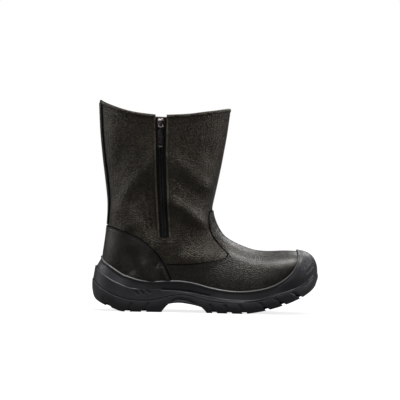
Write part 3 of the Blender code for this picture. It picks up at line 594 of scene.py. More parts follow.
    def normal(self, s, v):
        """Outward directions at rows and columns."""
        return unit(self.sample(self.normals, s, v))

    def at(self, s, v, lift=0.0, folds=1.0):
        """Points on the skin, raised by a lift."""
        rise = np.asarray(lift) + folds * self.sample(self.lift, s, v)
        return self.sample(self.points, s, v) + self.normal(s, v) * rise[..., None]

    def find(self, x, z, side):
        """Rows and columns of places seen from the side; side is -1 inner, 1 outer."""
        x, z = np.atleast_1d(np.asarray(x, dtype=float)), np.atleast_1d(np.asarray(z, dtype=float))
        tree, spots = self.trees[side]
        s, v = np.array([spots[tree.find((a, 0.0, b))[1]] for a, b in zip(x, z)], dtype=float).T
        low, high = (0.0, float(self.HALF)) if side < 0 else (float(self.HALF), 2.0 * self.HALF)
        for _ in range(self.FIND_PASSES):
            here = self.sample(self.points, s, v)
            up, down = np.minimum(v + 0.5, high), np.maximum(v - 0.5, low)
            ds = self.sample(self.points, s + 0.5, v) - self.sample(self.points, s - 0.5, v)
            dv = self.sample(self.points, s, up) - self.sample(self.points, s, down)
            dv = dv / (up - down)[:, None]
            gap = np.stack([x - here[:, 0], z - here[:, 2]], axis=1)
            ds, dv = ds[:, [0, 2]], dv[:, [0, 2]]
            a, b, c, p, q = (np.sum(i * j, axis=1) for i, j in (
                (ds, ds), (ds, dv), (dv, dv), (ds, gap), (dv, gap)))
            a, c = a + self.FIND_DAMP, c + self.FIND_DAMP
            det = a * c - b * b
            far = self.FIND_STRIDE
            s = np.clip(s + np.clip((c * p - b * q) / det, -far, far), 0.0, self.count - 1.0)
            v = np.clip(v + np.clip((a * q - b * p) / det, -far, far), low, high)
        return np.stack([s, v], axis=1)

    def nearest(self, points, side):
        """Rows and columns of the skin nearest to points in space, on one side."""
        first = 0 if side < 0 else self.HALF
        part = self.points[:, first:first + self.HALF + 1]
        out = []
        for point in points:
            gap = np.sum((part[::3, ::2] - point) ** 2, axis=2)
            r, c = np.unravel_index(np.argmin(gap), gap.shape)
            r0, c0 = max(r * 3 - 3, 0), max(c * 2 - 2, 0)
            close = np.sum((part[r0:r0 + 7, c0:c0 + 5] - point) ** 2, axis=2)
            i, j = np.unravel_index(np.argmin(close), close.shape)
            out.append((r0 + i, first + c0 + j))
        return np.array(out, dtype=float)

    def on_front(self, x, z):
        """Row and column on the front or top line that is nearest to a place."""
        column = self.points[:, self.HALF]
        return float(np.argmin(np.hypot(column[:, 0] - x, column[:, 2] - z))), float(self.HALF)

    def on_back(self, z):
        """Row on the back line at a height."""
        column = self.points[:, 0]
        x_end, z_end = self.HEEL_END
        start = int(np.argmin(np.abs(column[:, 0] - x_end) + np.abs(column[:, 2] - z_end)))
        return float(np.interp(z, column[start:, 2], np.arange(start, self.count)))

    def back_column(self, side):
        """Column of the back line on one side."""
        return 0.0 if side < 0 else 2.0 * self.HALF


SKIN = Skin()


def add_object(name, data):
    """New object in the scene."""
    obj = bpy.data.objects.new(name, data)
    bpy.context.scene.collection.objects.link(obj)
    return obj


def shade(mesh, angle):
    """Smooth shading with sharp edges over an angle in degrees."""
    mesh.shade_smooth()
    mesh.set_sharp_from_angle(angle=math.radians(angle))


def baked(obj):
    """Mesh of an object with its modifiers applied, in place of the old one."""
    graph = bpy.context.evaluated_depsgraph_get()
    mesh = bpy.data.meshes.new_from_object(obj.evaluated_get(graph))
    obj.modifiers.clear()
    old = obj.data
    obj.data = mesh
    bpy.data.meshes.remove(old)
    return mesh


def mesh_object(name, verts, faces, materials, kinds=None, angle=40.0, weld=0.004):
    """Closed mesh object in millimetres, welded, faced outward and shaded smooth by angle."""
    mesh = bpy.data.meshes.new(name)
    mesh.from_pydata((np.asarray(verts) * MM).tolist(), [], [tuple(int(i) for i in f) for f in faces])
    for item in materials:
        mesh.materials.append(item)
    if kinds is not None:
        mesh.polygons.foreach_set("material_index", np.asarray(kinds, dtype=np.int32))
    work = bmesh.new()
    work.from_mesh(mesh)
    if weld:
        bmesh.ops.remove_doubles(work, verts=work.verts, dist=weld * MM)
        bmesh.ops.dissolve_degenerate(work, edges=work.edges, dist=1e-7)
    bmesh.ops.recalc_face_normals(work, faces=work.faces)
    work.to_mesh(mesh)
    work.free()
    shade(mesh, angle)
    return add_object(name, mesh)


def settle(obj, body, slot, *nodes):
    """Hand a finished object to its body, in place of its CAD nodes."""
    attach(obj, body)
    if nodes:
        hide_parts(*nodes)
    return obj


def grid_faces(rows, cols, base=0, wrap=False):
    """Quads of a grid of points; wrap joins the last column to the first."""
    faces = []
    for r in range(rows - 1):
        for c in range(cols if wrap else cols - 1):
            d = (c + 1) % cols
            faces.append((base + r * cols + c, base + r * cols + d,
                          base + (r + 1) * cols + d, base + (r + 1) * cols + c))
    return faces


def slab(top, under):
    """Closed shell between two grids of the same shape."""
    rows, cols = top.shape[:2]
    verts = np.vstack([top.reshape(-1, 3), under.reshape(-1, 3)])
    base = rows * cols
    faces = grid_faces(rows, cols) + [f[::-1] for f in grid_faces(rows, cols, base)]
    edge = [*range(cols)]
    edge += [r * cols + cols - 1 for r in range(1, rows)]
    edge += [(rows - 1) * cols + c for c in range(cols - 2, -1, -1)]
    edge += [r * cols for r in range(rows - 2, 0, -1)]
    faces += [(a, base + a, base + b, b) for a, b in zip(edge, edge[1:] + edge[:1])]
    return verts, faces


def joined(*groups):
    """Several groups of points and faces as one."""
    verts, faces, base = [], [], 0
    for points, polygons in groups:
        verts.append(np.asarray(points))
        faces += [tuple(i + base for i in f) for f in polygons]
        base += len(points)
    return np.vstack(verts), faces


def swept(outline, near, far, along="y"):
    """Points and faces of a solid swept along y or x from an outline."""
    n = len(outline)
    verts = [(a, reach, b) if along == "y" else (reach, a, b) for reach in (near, far) for a, b in outline]
    faces = [tuple(range(n)), tuple(range(2 * n - 1, n - 1, -1))]
    faces += [(i, i + n, (i + 1) % n + n, (i + 1) % n) for i in range(n)]
    return verts, faces


def carve(obj, group, operation="DIFFERENCE"):
    """Apply an exact Boolean with a solid given as points and faces."""
    cutter = mesh_object("cutter", *group, list(obj.data.materials), weld=0.0)
    step = obj.modifiers.new("Cut", "BOOLEAN")
    step.operation = operation
    step.solver = "EXACT"
    step.object = cutter
    mesh = baked(obj)
    bpy.data.objects.remove(cutter)
    shade(mesh, 40.0)


def zip_at(z, part):
    """A column of the zip line at a height."""
    fine = smooth(ZIP_LINE, 8)
    return np.interp(z, fine[:, 0], fine[:, ZIP_COLUMNS.index(part)])


def zip_path(z, share=0.0, aside=0.0):
    """Rows and columns beside the middle of the zip: a share of its half width and a distance."""
    x = zip_at(z, "x") + share * zip_at(z, "half") + aside
    return SKIN.find(x, np.broadcast_to(z, np.shape(x)), -1)


def edge_rise(d):
    """Height of an overlay at a distance inside its edge: a thin lip, a round, and a sunk stitch line."""
    sunk = STITCH_SUNK * math.exp(-((d - STITCH_ROWS[0]) / STITCH_WIDTH) ** 2)
    return OVERLAY_LIP + (OVERLAY_TOP - OVERLAY_LIP) * float(round_step(d, OVERLAY_ROUND)) - sunk


class Overlay:
    """Panel ruled on the skin from a seen edge to a foot under the rim, with a rounded edge."""

    # Rows below 0 lie past the edge as a thin black lip on the skin. With the first rows inside, they take
    # the near-black edge: dyed edge and painted shadow.
    EDGE_ROWS = (-1.5, -0.8, 0.0, 0.1, 0.25, 0.45, 0.75, 1.1, 1.6, 2.1, 2.5, 2.9, 3.4, 4.2)
    EDGE_AND_SHADOW_BAND = 0.7
    INNER_ROWS = 26
    RULE_STEP = 0.02

    def __init__(self, edge, foot, lap=0.0):
        self.edge, self.foot, self.lap = edge, foot, lap
        places = SKIN.at(*edge.T)
        ruled = (SKIN.at(*(edge + (foot - edge) * self.RULE_STEP).T) - places) / self.RULE_STEP
        self.length = np.maximum(np.linalg.norm(ruled, axis=1), 0.5)
        along = unit(np.gradient(places, axis=0))
        turn = np.linalg.norm(np.cross(along, ruled / self.length[:, None]), axis=1)
        self.length *= np.clip(turn, 0.3, 1.0)

    def path(self, distance):
        """Rows and columns of a line at a distance inside the edge."""
        share = np.clip(distance / self.length, -0.2, 0.9)[:, None]
        return self.edge + (self.foot - self.edge) * share

    def grids(self):
        """Top and underside of the panel."""
        rows = [(self.path(d), edge_rise(d)) for d in self.EDGE_ROWS]
        last = rows[-1][0]
        for k in range(1, self.INNER_ROWS + 1):
            rows.append((last + (self.foot - last) * k / self.INNER_ROWS, OVERLAY_TOP))
        top, under = [], []
        for k, (path, rise) in enumerate(rows):
            up = self.lap * math.exp(-(max(k - len(self.EDGE_ROWS), 0) / LAP_ROWS) ** 2)
            top.append(SKIN.at(*path.T, rise + up))
            under.append(SKIN.at(*path.T, OVERLAY_UNDER + up))
        return np.array(top), np.array(under)


def even_rows(rows, count, passes=6):
    """Rows and columns spread evenly along the skin and eased a little."""
    run = run_along(SKIN.at(*rows.T))
    return eased(columns_at(np.linspace(0.0, run[-1], count + 1), run, rows), passes)


def rim_path(side, count, drop=0.0):
    """Rim of the cup and bumper on the skin, from the back centre to the top of the toe."""
    pts = smooth(RIM_LINE, 12)
    step = unit(np.gradient(pts, axis=0))
    drop = drop - RIM_RAISE
    pts = pts + drop * np.stack([step[:, 1], -step[:, 0]], axis=1)
    top = SKIN.points[:TOE_ROWS, SKIN.HALF]
    order = np.argsort(top[:, 0])
    ceiling = np.interp(pts[:, 0], top[order, 0], top[order, 2])
    below = (pts[:, 0] < TOE_FROM) | (pts[:, 1] < ceiling - TOE_GAP)
    pts = pts[(pts[:, 0] > RIM_START) & below]
    back = (SKIN.on_back(RIM_BACK - drop), SKIN.back_column(side))
    front = SKIN.on_front(BUMPER_PEAK[0] + drop, BUMPER_PEAK[1])
    found = SKIN.find(*evenly(pts, RIM_POINTS).T, side)
    path = even_rows(np.vstack([[back], found, [front]]), count, RIM_PASSES)
    for ordered in (path, path[::-1]):
        n = round(RIM_ROUND * count)
        t = np.arange(n) / n
        slope = (ordered[n + 1, 0] - ordered[n - 1, 0]) / 2 * n
        start, stop = ordered[0, 0], ordered[n, 0]
        ordered[:n, 0] = start + (stop - start) * (3 * t ** 2 - 2 * t ** 3) + slope * (t ** 3 - t ** 2)
    return path


def panel_foot(side, ahead):
    """Foot of an overlay under the rim, ahead of the split or behind it."""
    rows = rim_path(side, PANEL_POINTS, PANEL_FOOT)
    x = SKIN.at(*rows.T)[:, 0]
    return rows[x >= PANEL_SPLIT] if ahead else rows[x <= PANEL_SPLIT]


def vamp_panel(side):
    """Vamp half: edge from the instep peak to the counter, foot under the rim."""
    pts = smooth(VAMP_EDGE, 8)
    pts = pts[(pts[:, 0] < VAMP_PEAK_ROUND[0]) | (pts[:, 1] < VAMP_PEAK_ROUND[1])]
    pts[:, 0] += np.where(pts[:, 1] < VAMP_TAIL[0], VAMP_TAIL[1], 0.0)
    edge = np.vstack([[SKIN.on_front(*VAMP_PEAK)], SKIN.find(*pts.T, side)])
    foot = even_rows(panel_foot(side, True)[::-1], VAMP_COLUMNS)
    old = np.linspace(0.0, 1.0, len(foot))
    return Overlay(even_rows(edge, VAMP_COLUMNS, 2), columns_at(np.interp(old, *VAMP_SHARES), old, foot))


def lap_rise(height):
    """Extra height of the counter's front edge, where it laps over the vamp."""
    return OVERLAY_TOP * np.clip((LAP_TOP - height) / LAP_EASE, 0.0, 1.0)


def counter_panel(side):
    """Heel counter half: edge from the back centre to the rim, foot under the rim."""
    pts = smooth(COUNTER_EDGE, 8)
    pts = pts[pts[:, 0] > COUNTER_START]
    back = (SKIN.on_back(COUNTER_BACK), SKIN.back_column(side))
    edge = even_rows(np.vstack([[back], SKIN.find(*pts.T, side)]), COUNTER_COLUMNS, 2)
    foot = even_rows(panel_foot(side, False), COUNTER_COLUMNS)
    return Overlay(edge, foot, lap_rise(SKIN.at(*edge.T)[:, 2]))


def build_panel(name, halves, materials):
    """Both halves of an overlay as one closed piece, joined on the middle line of the boot."""
    groups, kinds = [], []
    for half in halves:
        top, under = half.grids()
        rows, cols = top.shape[:2]
        verts, faces = slab(top, under)
        seam = {r * cols for r in range(2 * rows)}
        faces = [f for f in faces if len(set(f) & seam) < 4]
        groups.append((verts, faces))
        # Faces near the edge take the near-black material: the dyed edge, and a painted shadow along it.
        edge_and_shadow_rows = sum(d < Overlay.EDGE_AND_SHADOW_BAND for d in Overlay.EDGE_ROWS) * cols
        kinds += [int(min(f) < edge_and_shadow_rows) for f in faces]
    return mesh_object(name, *joined(*groups), materials, kinds, angle=50.0)


def back_stay_rows(count):
    """Rows of the back stay from the counter to the collar, with the columns to a millimetre."""
    s = np.linspace(SKIN.on_back(BACK_STAY_FOOT), SKIN.count - 1.0, count + 1)
    step = np.linalg.norm(SKIN.at(s, np.full_like(s, 2.0)) - SKIN.at(s, np.zeros_like(s)), axis=1) / 2.0
    return s, 1.0 / step


def across_back(rate, y):
    """Columns at a distance y from the back line."""
    return -y * rate if y < 0 else 2.0 * SKIN.HALF - y * rate


def build_back_stay(materials):
    """Strip down the back seam."""
    s, rate = back_stay_rows(BACK_STAY_POINTS[0])
    edge = np.array(Overlay.EDGE_ROWS)
    middle = np.linspace(BACK_STAY_HALF - edge[-1], 0.0, 6)[1:]
    reach = np.concatenate([BACK_STAY_HALF - edge, middle])
    across = np.concatenate([-reach, reach[::-1][1:]])
    top, under = [], []
    for y in across:
        v = across_back(rate, y)
        top.append(SKIN.at(s, v, np.full_like(s, edge_rise(BACK_STAY_HALF - abs(y)))))
        under.append(SKIN.at(s, v, np.full_like(s, OVERLAY_UNDER)))
    verts, faces = slab(np.array(top), np.array(under))
    count = len(across)
    bands = [f[0] // len(s) % count for f in faces]
    bands = [min(k, count - 1 - k, len(edge) - 1) for k in bands]
    # Bands near the stay's edges take the near-black material: the dyed edge, and a painted shadow along it.
    kinds = [int(edge[k] < Overlay.EDGE_AND_SHADOW_BAND) for k in bands]
    return mesh_object("back_stay_leather", verts, faces, materials, kinds, angle=50.0)


def build_upper(materials):
    """Leather wall with lining, open at the collar, the zip slot and underneath."""
    s = np.arange(0, SKIN.count, 2.0)
    s[-1] = SKIN.count - 1.0
    rows, cols = np.meshgrid(s, np.arange(0, 2.0 * SKIN.HALF + 1, 2.0), indexing="ij")
    outer = SKIN.at(rows, cols, 0.0)
    inner = SKIN.at(rows, cols, -WALL)
    inner[0, :, 1] = SKIN.points[0, 0, 1]
    closed = np.linalg.norm(outer[:, 0] - outer[:, -1], axis=1) < SKIN.CLOSED_GAP
    inner[closed, -1] = inner[closed, 0]
    verts = np.vstack([outer.reshape(-1, 3), inner.reshape(-1, 3)])
    count, width = outer.shape[:2]
    base = count * width
    faces = grid_faces(count, width) + [f[::-1] for f in grid_faces(count, width, base)]
    kinds = [0] * (len(faces) // 2) + [1] * (len(faces) // 2)
    top = (count - 1) * width
    edges = [(top + c, top + c + 1) for c in range(width - 1)]
    for r in range(count - 1):
        if not (closed[r] and closed[r + 1]):
            edges += [(r * width + c, (r + 1) * width + c) for c in (0, width - 1)]
    faces += [(a, b, base + b, base + a) for a, b in edges]
    kinds += [0] * len(edges)
    obj = mesh_object("upper_leather", verts, faces, materials, kinds, angle=50.0)
    heights = np.linspace(SLOT_FOOT, SLOT_TOP, 40)
    left, right = ([(zip_at(z, "x") + k * zip_at(z, "half"), z) for z in heights] for k in (-1, 1))
    carve(obj, swept(left + right[::-1], *SLOT_CUT))
    return obj


def sole_ring(ring, line, count, drop=0.0):
    """Inner and outer half of a ring of the sole in space, from heel to toe."""
    inset, heel_end, toe_end = ring
    turn = np.linspace(0.0, math.pi, PLAN_POINTS)
    x = heel_end + (toe_end - heel_end) * (1 - np.cos(turn)) / 2
    fine = smooth(PLAN, 10)
    centre = np.interp(x, fine[:, 0], fine[:, 1])
    drawn = np.interp(x, *np.transpose(inset)) if np.ndim(inset) else inset
    half = np.interp(x, fine[:, 0], fine[:, 2]) - drawn
    for gone, (radius, power) in ((x - heel_end, HEEL_ROUND), (toe_end - x, TOE_ROUND)):
        d = np.clip(gone / radius, 0.0, 1.0)
        half = half * (1 - (1 - d) ** power) ** (1 / power)
    halves = [evenly(np.stack([x, centre + side * half], axis=1), count) for side in (-1, 1)]
    return [np.column_stack([plan, line_z(line, plan[:, 0]) - drop]) for plan in halves]


def pressed(points, table):
    """Depth at points of the lines pressed into a side wall."""
    x, z = points[..., 0], points[..., 2]
    depth = np.zeros(x.shape)
    for x0, z0, x1, z1, width, deep in table:
        dx, dz = x1 - x0, z1 - z0
        t = np.clip(((x - x0) * dx + (z - z0) * dz) / (dx * dx + dz * dz), 0.0, 1.0)
        gap = np.hypot(x - x0 - t * dx, z - z0 - t * dz)
        depth = np.maximum(depth, deep * np.exp(-(gap / width) ** 2))
    return depth


def bead_rise(d, top):
    """Height of the rim at a distance under its edge: a rounded bead that eases into the wall."""
    height, place, width = BEAD
    bead = height * math.exp(-((d - place) / width) ** 2)
    return RIM_LIP + (top - RIM_LIP) * round_step(d, BEAD_ROUND) + bead


def cup_wall(side, count):
    """Wall of the midsole on one side: rows from the rim to the parting line, then its back face."""
    rim = rim_path(side, count)
    index = 0 if side < 0 else 1
    rim_x = SKIN.at(*rim.T)[:, 0]
    run = np.linspace(0.0, 1.0, count + 1)
    cup_x = sole_ring(CUP_RING, LEDGE_LINE, RING_FINE)[index][:, 0]
    knots = [(0.0, 0.0)]
    for above, below in RIM_PAIRS:
        knots.append((run[np.argmin(np.abs(rim_x - above))], np.argmin(np.abs(cup_x - below)) / RING_FINE))
    knots.append((1.0, 1.0))
    spots = eased(np.interp(run, *np.transpose(knots)), CUP_EASE["knots"]) * RING_FINE

    def ring_at(ring, line, rise):
        return columns_at(spots, np.arange(RING_FINE + 1), sole_ring(ring, line, RING_FINE, -rise)[index])

    cup = ring_at(CUP_RING, LEDGE_LINE, CUP_RISE)
    foot = eased(SKIN.nearest(cup, side), CUP_EASE["foot"])
    lift = np.sum((cup - SKIN.at(*foot.T, 0.0, 0.0)) * SKIN.normal(*foot.T), axis=1)
    top = eased(np.where(rim_x > BUMPER_START, BUMPER_TOP, RIM_TOP), CUP_EASE["top"])
    reach = np.maximum(np.linalg.norm(cup - SKIN.at(*rim.T, RIM_RISE, 0.0), axis=1), RIM_LEAST)
    first = np.minimum(RIM_ROWS[-1] / reach, RIM_SHARE)
    toe = np.clip((rim_x - TOE_BLEND[0]) / TOE_BLEND[1], 0.0, 1.0)
    toe = eased(toe, CUP_EASE["toe"])[:, None]
    under = rim_path(side, count, RIM_ROWS[-1])

    def on_skin(t, d):
        where = rim + (foot - rim) * t[:, None]
        ease = t ** LIFT_POWER
        rise = bead_rise(d, top) * (1 - ease) + lift * ease
        swell = BUMPER_SWELL * np.sin(math.pi * np.clip(t, 0.0, 1.0)) * toe[:, 0]
        return SKIN.at(*where.T, rise + swell, 0.0)

    def bead_row(d):
        where = rim + (under - rim) * d / RIM_ROWS[-1]
        plain = SKIN.at(*where.T, bead_rise(d, top), 0.0)
        return plain * (1 - toe) + on_skin(first * d / RIM_ROWS[-1], d) * toe

    rows = [eased(bead_row(d), CUP_EASE["bead"]) for d in RIM_ROWS]
    edge = rows[-1]
    short = cup - on_skin(np.ones(count + 1), RIM_ROWS[-1])
    for t in np.linspace(0.0, 1.0, WALL_ROWS + 1)[1:]:
        plain = edge + (cup - edge) * t
        bent = on_skin(first + (1 - first) * t, RIM_ROWS[-1]) + short * t ** 2
        rows.append(plain * (1 - toe) + bent * toe)
    ledge = ring_at(LEDGE_RING, LEDGE_LINE, 0.0)
    for share, rise in LEDGE_PROFILE:
        row = cup + (ledge - cup) * share
        row[:, 2] = ledge[:, 2] + rise
        rows.append(row)
    low, high = ring_at(PARTING_RING, PARTING_LINE, PARTING_RISE), rows[-1]
    rows += [high + (low - high) * t for t in np.linspace(0.0, 1.0, LEDGE_ROWS + 1)[1:-1]]
    for inset, rise in PARTING_PROFILE:
        drawn = inset - PARTING_RING[0]
        ring = (inset, PARTING_RING[1] + drawn, PARTING_RING[2] - drawn)
        rows.append(ring_at(ring, PARTING_LINE, rise))
    wall = np.array(rows)
    square = unit(np.cross(np.gradient(wall, axis=1), np.gradient(wall, axis=0)))
    outward = np.sign(np.sum(square[:, :, 1] * side))
    depth = pressed(wall, PRESSED)
    depth[:len(RIM_ROWS)] = 0.0
    wall = wall - square * outward * depth[..., None]
    inside = [SKIN.at(*(rim + (foot - rim) * t).T, CUP_BACK, 0.0) for t in CUP_BACK_ROWS]
    return np.vstack([wall, np.array(inside)])


def build_midsole(materials):
    """Cup with rim bead, heel step and toe bumper, as a closed ring."""
    inner, outer = cup_wall(-1, CUP_STATIONS), cup_wall(1, CUP_STATIONS)
    loop = np.concatenate([inner, outer[:, ::-1][:, 1:-1]], axis=1)
    rows, cols = loop.shape[:2]
    faces = grid_faces(rows, cols, wrap=True)
    last = (rows - 1) * cols
    faces += [(last + c, last + (c + 1) % cols, (c + 1) % cols, c) for c in range(cols)]
    # The bead's rows get the lighter rim rubber, a painted highlight along the cup's top edge.
    bead = sum(d < RIM_HIGHLIGHT_BAND for d in RIM_ROWS)
    kinds = [int(f[0] // cols < bead and f[2] // cols <= bead) for f in faces]
    return mesh_object("midsole_cup", loop.reshape(-1, 3), faces, materials, kinds, angle=46.0)


def away(half):
    """Directions square to a half ring of the sole in plan, out of the boot."""
    step = unit(np.gradient(half[:, :2], axis=0))
    out = np.stack([-step[:, 1], step[:, 0], np.zeros(len(half))], axis=1)
    return out * np.sign(np.sum(out[:, 1] * (half[:, 1] - half[[0, -1], 1].mean())))


def build_outsole(materials):
    """Tread layer with a rounded side wall, arch and lugs."""
    count = TREAD_STATIONS
    rings = [sole_ring(ring, PARTING_LINE, count, drop) for *ring, drop in TREAD_TOP]
    top = rings[-1]
    foot = sole_ring(TREAD_FOOT, TREAD_LINE, count, -TREAD_FOOT_RISE)
    for t in np.linspace(0.0, 1.0, TREAD_ROWS + 1)[1:]:
        swell = TREAD_SWELL * math.sin(math.pi * t)
        rings.append([a + (b - a) * t + swell * away(a) for a, b in zip(top, foot)])
    for inset, rise in TREAD_EDGE:
        drawn = inset - TREAD_FOOT[0]
        ring = (inset, TREAD_ENDS[0] + drawn, TREAD_ENDS[1] - drawn)
        rings.append(sole_ring(ring, TREAD_LINE, count, -rise))
    grid = np.array([np.vstack([inner, outer[::-1][1:-1]]) for inner, outer in rings])
    rising, cuts = [], []
    up, wide, deep = SIDE_GROOVE
    for x, z, width, depth, lean in GROOVES:
        slope = math.tan(math.radians(lean))
        rising.append((x, z, x + up * slope, z + up, wide, deep))
        low, shoulder = x - GROOVE_BELOW * slope, depth - GROOVE_ROUND
        shape = (
            (low - width / 2, z - GROOVE_BELOW),
            (low + width / 2, z - GROOVE_BELOW),
            (x + width * GROOVE_SHOULDER + shoulder * slope, z + shoulder),
            (x + width * GROOVE_ROOF + depth * slope, z + depth),
            (x - width * GROOVE_ROOF + depth * slope, z + depth),
            (x - width * GROOVE_SHOULDER + shoulder * slope, z + shoulder),
        )
        cuts += [swept(shape, -CUT_REACH, -GROOVE_LAND / 2), swept(shape, GROOVE_LAND / 2, CUT_REACH)]
    side = pressed(grid, ARCH_PRESS + tuple(rising))
    side[:len(TREAD_TOP)] = 0.0
    side[-len(TREAD_EDGE):] = 0.0
    grid[:, :, 1] -= np.sign(grid[:, :, 1]) * side
    rows, cols = grid.shape[:2]
    faces = grid_faces(rows, cols, wrap=True)
    half = cols // 2
    for base in (0, (rows - 1) * cols):
        faces.append((base, base + 1, base + cols - 1))
        faces += [(base + i, base + i + 1, base + cols - i - 1, base + cols - i) for i in range(1, half - 1)]
        faces.append((base + half - 1, base + half, base + half + 1))
    obj = mesh_object("outsole_tread", grid.reshape(-1, 3), faces, materials, angle=38.0)
    carve(obj, swept(smooth(ARCH_OUTLINE, 5), -CUT_REACH, CUT_REACH))
    carve(obj, joined(*cuts))
    return obj


def build_insole(materials):
    """Cupped sock on the floor of the boot."""
    low, high = SKIN.points[:, 0], SKIN.points[:, -1]
    back, height, width = INSOLE_ENDS
    across = np.sin(np.linspace(-math.pi / 2, math.pi / 2, INSOLE_ACROSS))
    edge, cup = INSOLE_POWERS
    round_off = 1 - np.sqrt(np.clip(1 - np.abs(across) ** edge, 0, 1))
    dome = INSOLE_TOP - INSOLE_ROUND * round_off + INSOLE_CUP * across ** cup
    flat = np.zeros(INSOLE_ACROSS)
    under = []
    for r in range(0, SKIN.count, INSOLE_STRIDE):
        (x, y, z), far = low[r], high[r, 1]
        if x > back and z < height and far - y > width:
            half = (far - y) / 2 - WALL - INSOLE_PLAY
            under.append(np.stack([flat + x, (far + y) / 2 + half * across, flat + z + INSOLE_GAP], axis=1))
    top = np.array(under) + np.stack([flat, flat, dome], axis=1)
    return mesh_object("insole_sock", *slab(top, np.array(under)), materials, angle=50.0)


def tube(path, radii, sides, square):
    """Swept round bar along a path, closed at its ends; radii are across and along the square direction."""
    step = unit(np.gradient(path, axis=0))
    up = unit(np.cross(step, square))
    out = np.cross(up, step)
    turn = np.linspace(0.0, 2 * math.pi, sides, endpoint=False)[None, :, None]
    ring = path[:, None] + radii[0] * np.cos(turn) * up[:, None] + radii[1] * np.sin(turn) * out[:, None]
    rows = len(path)
    verts = np.vstack([ring.reshape(-1, 3), path[:1], path[-1:]])
    faces = grid_faces(rows, sides, wrap=True)
    faces += [(i, (i + 1) % sides, rows * sides) for i in range(sides)]
    last = (rows - 1) * sides
    faces += [(last + (i + 1) % sides, last + i, rows * sides + 1) for i in range(sides)]
    return verts, faces


def collar_columns():
    """Columns of the collar from the front edge of the zip, round the boot, to its back edge."""
    front, back = (zip_path(COLLAR_ZIP, k, k * COLLAR_GAP)[0, 1] for k in (1, -1))
    ahead, behind = COLLAR_POINTS
    return np.linspace(front, 2.0 * SKIN.HALF, ahead), np.linspace(0.0, back, behind)


def build_binding(materials):
    """Rolled leather edge along the collar, open at the zip."""
    ahead, behind = collar_columns()
    v = np.concatenate([ahead, behind[1:]])
    s = np.full_like(v, SKIN.count - 1.0)
    inner, outer = SKIN.at(s, v, -WALL), SKIN.at(s, v, 0.0)
    path = (inner + outer) / 2
    path[:, 2] += ROLL_SEAT + ROLL_WAVE[0] * np.sin(np.linspace(0, ROLL_WAVE[1], len(v)))
    roll = tube(path, ROLL, ROLL_SIDES, unit(outer - inner))
    return mesh_object("collar_roll", *roll, materials, angle=60.0)


def build_tape(materials):
    """Woven tape in the slot, behind the leather."""
    rows, cols = TAPE_GRID
    shares = np.linspace(-TAPE_SHARE, TAPE_SHARE, cols)
    paths = [zip_path(z, shares) for z in np.linspace(SLOT_FOOT - TAPE_FOOT, TAPE_TOP, rows)]
    top, under = (np.array([SKIN.at(*p.T, -WALL - depth) for p in paths]) for depth in TAPE_FACES)
    return mesh_object("zip_tape_weave", *slab(top, under), materials, angle=50.0)


def build_welts(materials):
    """Folded leather edges along both sides of the slot."""
    groups = []
    for share in (-WELT_SHARE, WELT_SHARE):
        line = SKIN.at(*zip_path(np.linspace(SLOT_FOOT, WELT_TOP, WELT_POINTS), share).T, -WELT_DEPTH)
        place = SKIN.find(line[:, 0], line[:, 2], -1)
        groups.append(tube(line, WELT_ROUND, WELT_SIDES, SKIN.normal(*place.T)))
    return mesh_object("zip_welts", *joined(*groups), materials, angle=60.0)


def bevelled(name, groups, materials, width):
    """Hard piece from plain solids, united and with bevelled edges."""
    obj = mesh_object(name, *groups[0], materials, weld=0.0)
    for extra in groups[1:]:
        carve(obj, extra, "UNION")
    work = bmesh.new()
    work.from_mesh(obj.data)
    pairs = [e for e in work.edges if len(e.link_faces) == 2]
    sharp = [e for e in pairs if e.calc_face_angle(0.0) > math.radians(30.0)]
    bmesh.ops.bevel(work, geom=sharp, offset=width * MM, segments=3, profile=0.5, affect="EDGES",
                    clamp_overlap=True)
    bmesh.ops.recalc_face_normals(work, faces=work.faces)
    work.to_mesh(obj.data)
    work.free()
    shade(obj.data, 50.0)
    return obj


def round_bar(radius, half):
    """Bar along x on the axis of the zip's pin."""
    turn = np.linspace(0.0, 2 * math.pi, PIN_SIDES, endpoint=False)
    outline = [(PIVOT[1] + radius * math.cos(a), PIVOT_Z + radius * math.sin(a)) for a in turn]
    return swept(outline, PIVOT[0] - half, PIVOT[0] + half, "x")


def both_ways(half):
    """Closed outline about the pin from half widths and heights."""
    return [(PIVOT[0] + a, b) for a, b in half] + [(PIVOT[0] - a, b) for a, b in half[::-1]]


def build_slider(materials):
    """Slider body with its bridge and pin."""
    x, pin_y = PIVOT
    front = pin_y + SLIDER_FRONT
    outline = both_ways([(share * SLIDER_HALF, SLIDER_FOOT + z) for share, z in SLIDER_FACE])
    lug = [(pin_y + y, PIVOT_Z + z) for y, z in SLIDER_LUG]
    reach = TAB_HALF * TAB_NECK + LUG_PLAY
    groups = [
        swept(outline, front, front + SLIDER_DEPTH),
        swept(lug, x - reach - LUG, x - reach, "x"),
        swept(lug, x + reach, x + reach + LUG, "x"),
        round_bar(PIN, reach + PIN_SEAT),
    ]
    return bevelled("zip_slider_body", groups, materials, SLIDER_BEVEL)


def build_tab(materials):
    """Pull tab with a barrel round the pin and a sunk face."""
    y, neck = PIVOT[1], TAB_HALF * TAB_NECK
    outline = both_ways([(share * TAB_HALF, PIVOT_Z + z) for share, z in TAB_FACE])
    plate = swept(outline, y - TAB / 2, y + TAB / 2)
    obj = bevelled("zip_tab_plate", [plate, round_bar(TAB_BARREL, neck)], materials, TAB_BEVEL)
    top, foot, share, depth = TAB_SUNK
    face = both_ways([(share * TAB_HALF, PIVOT_Z + top), (share * TAB_HALF, PIVOT_Z + foot)])
    carve(obj, swept(face, y - CUT_CLEAR, y - TAB / 2 + depth))
    carve(obj, round_bar(TAB_EYE, neck + CUT_CLEAR))
    return obj


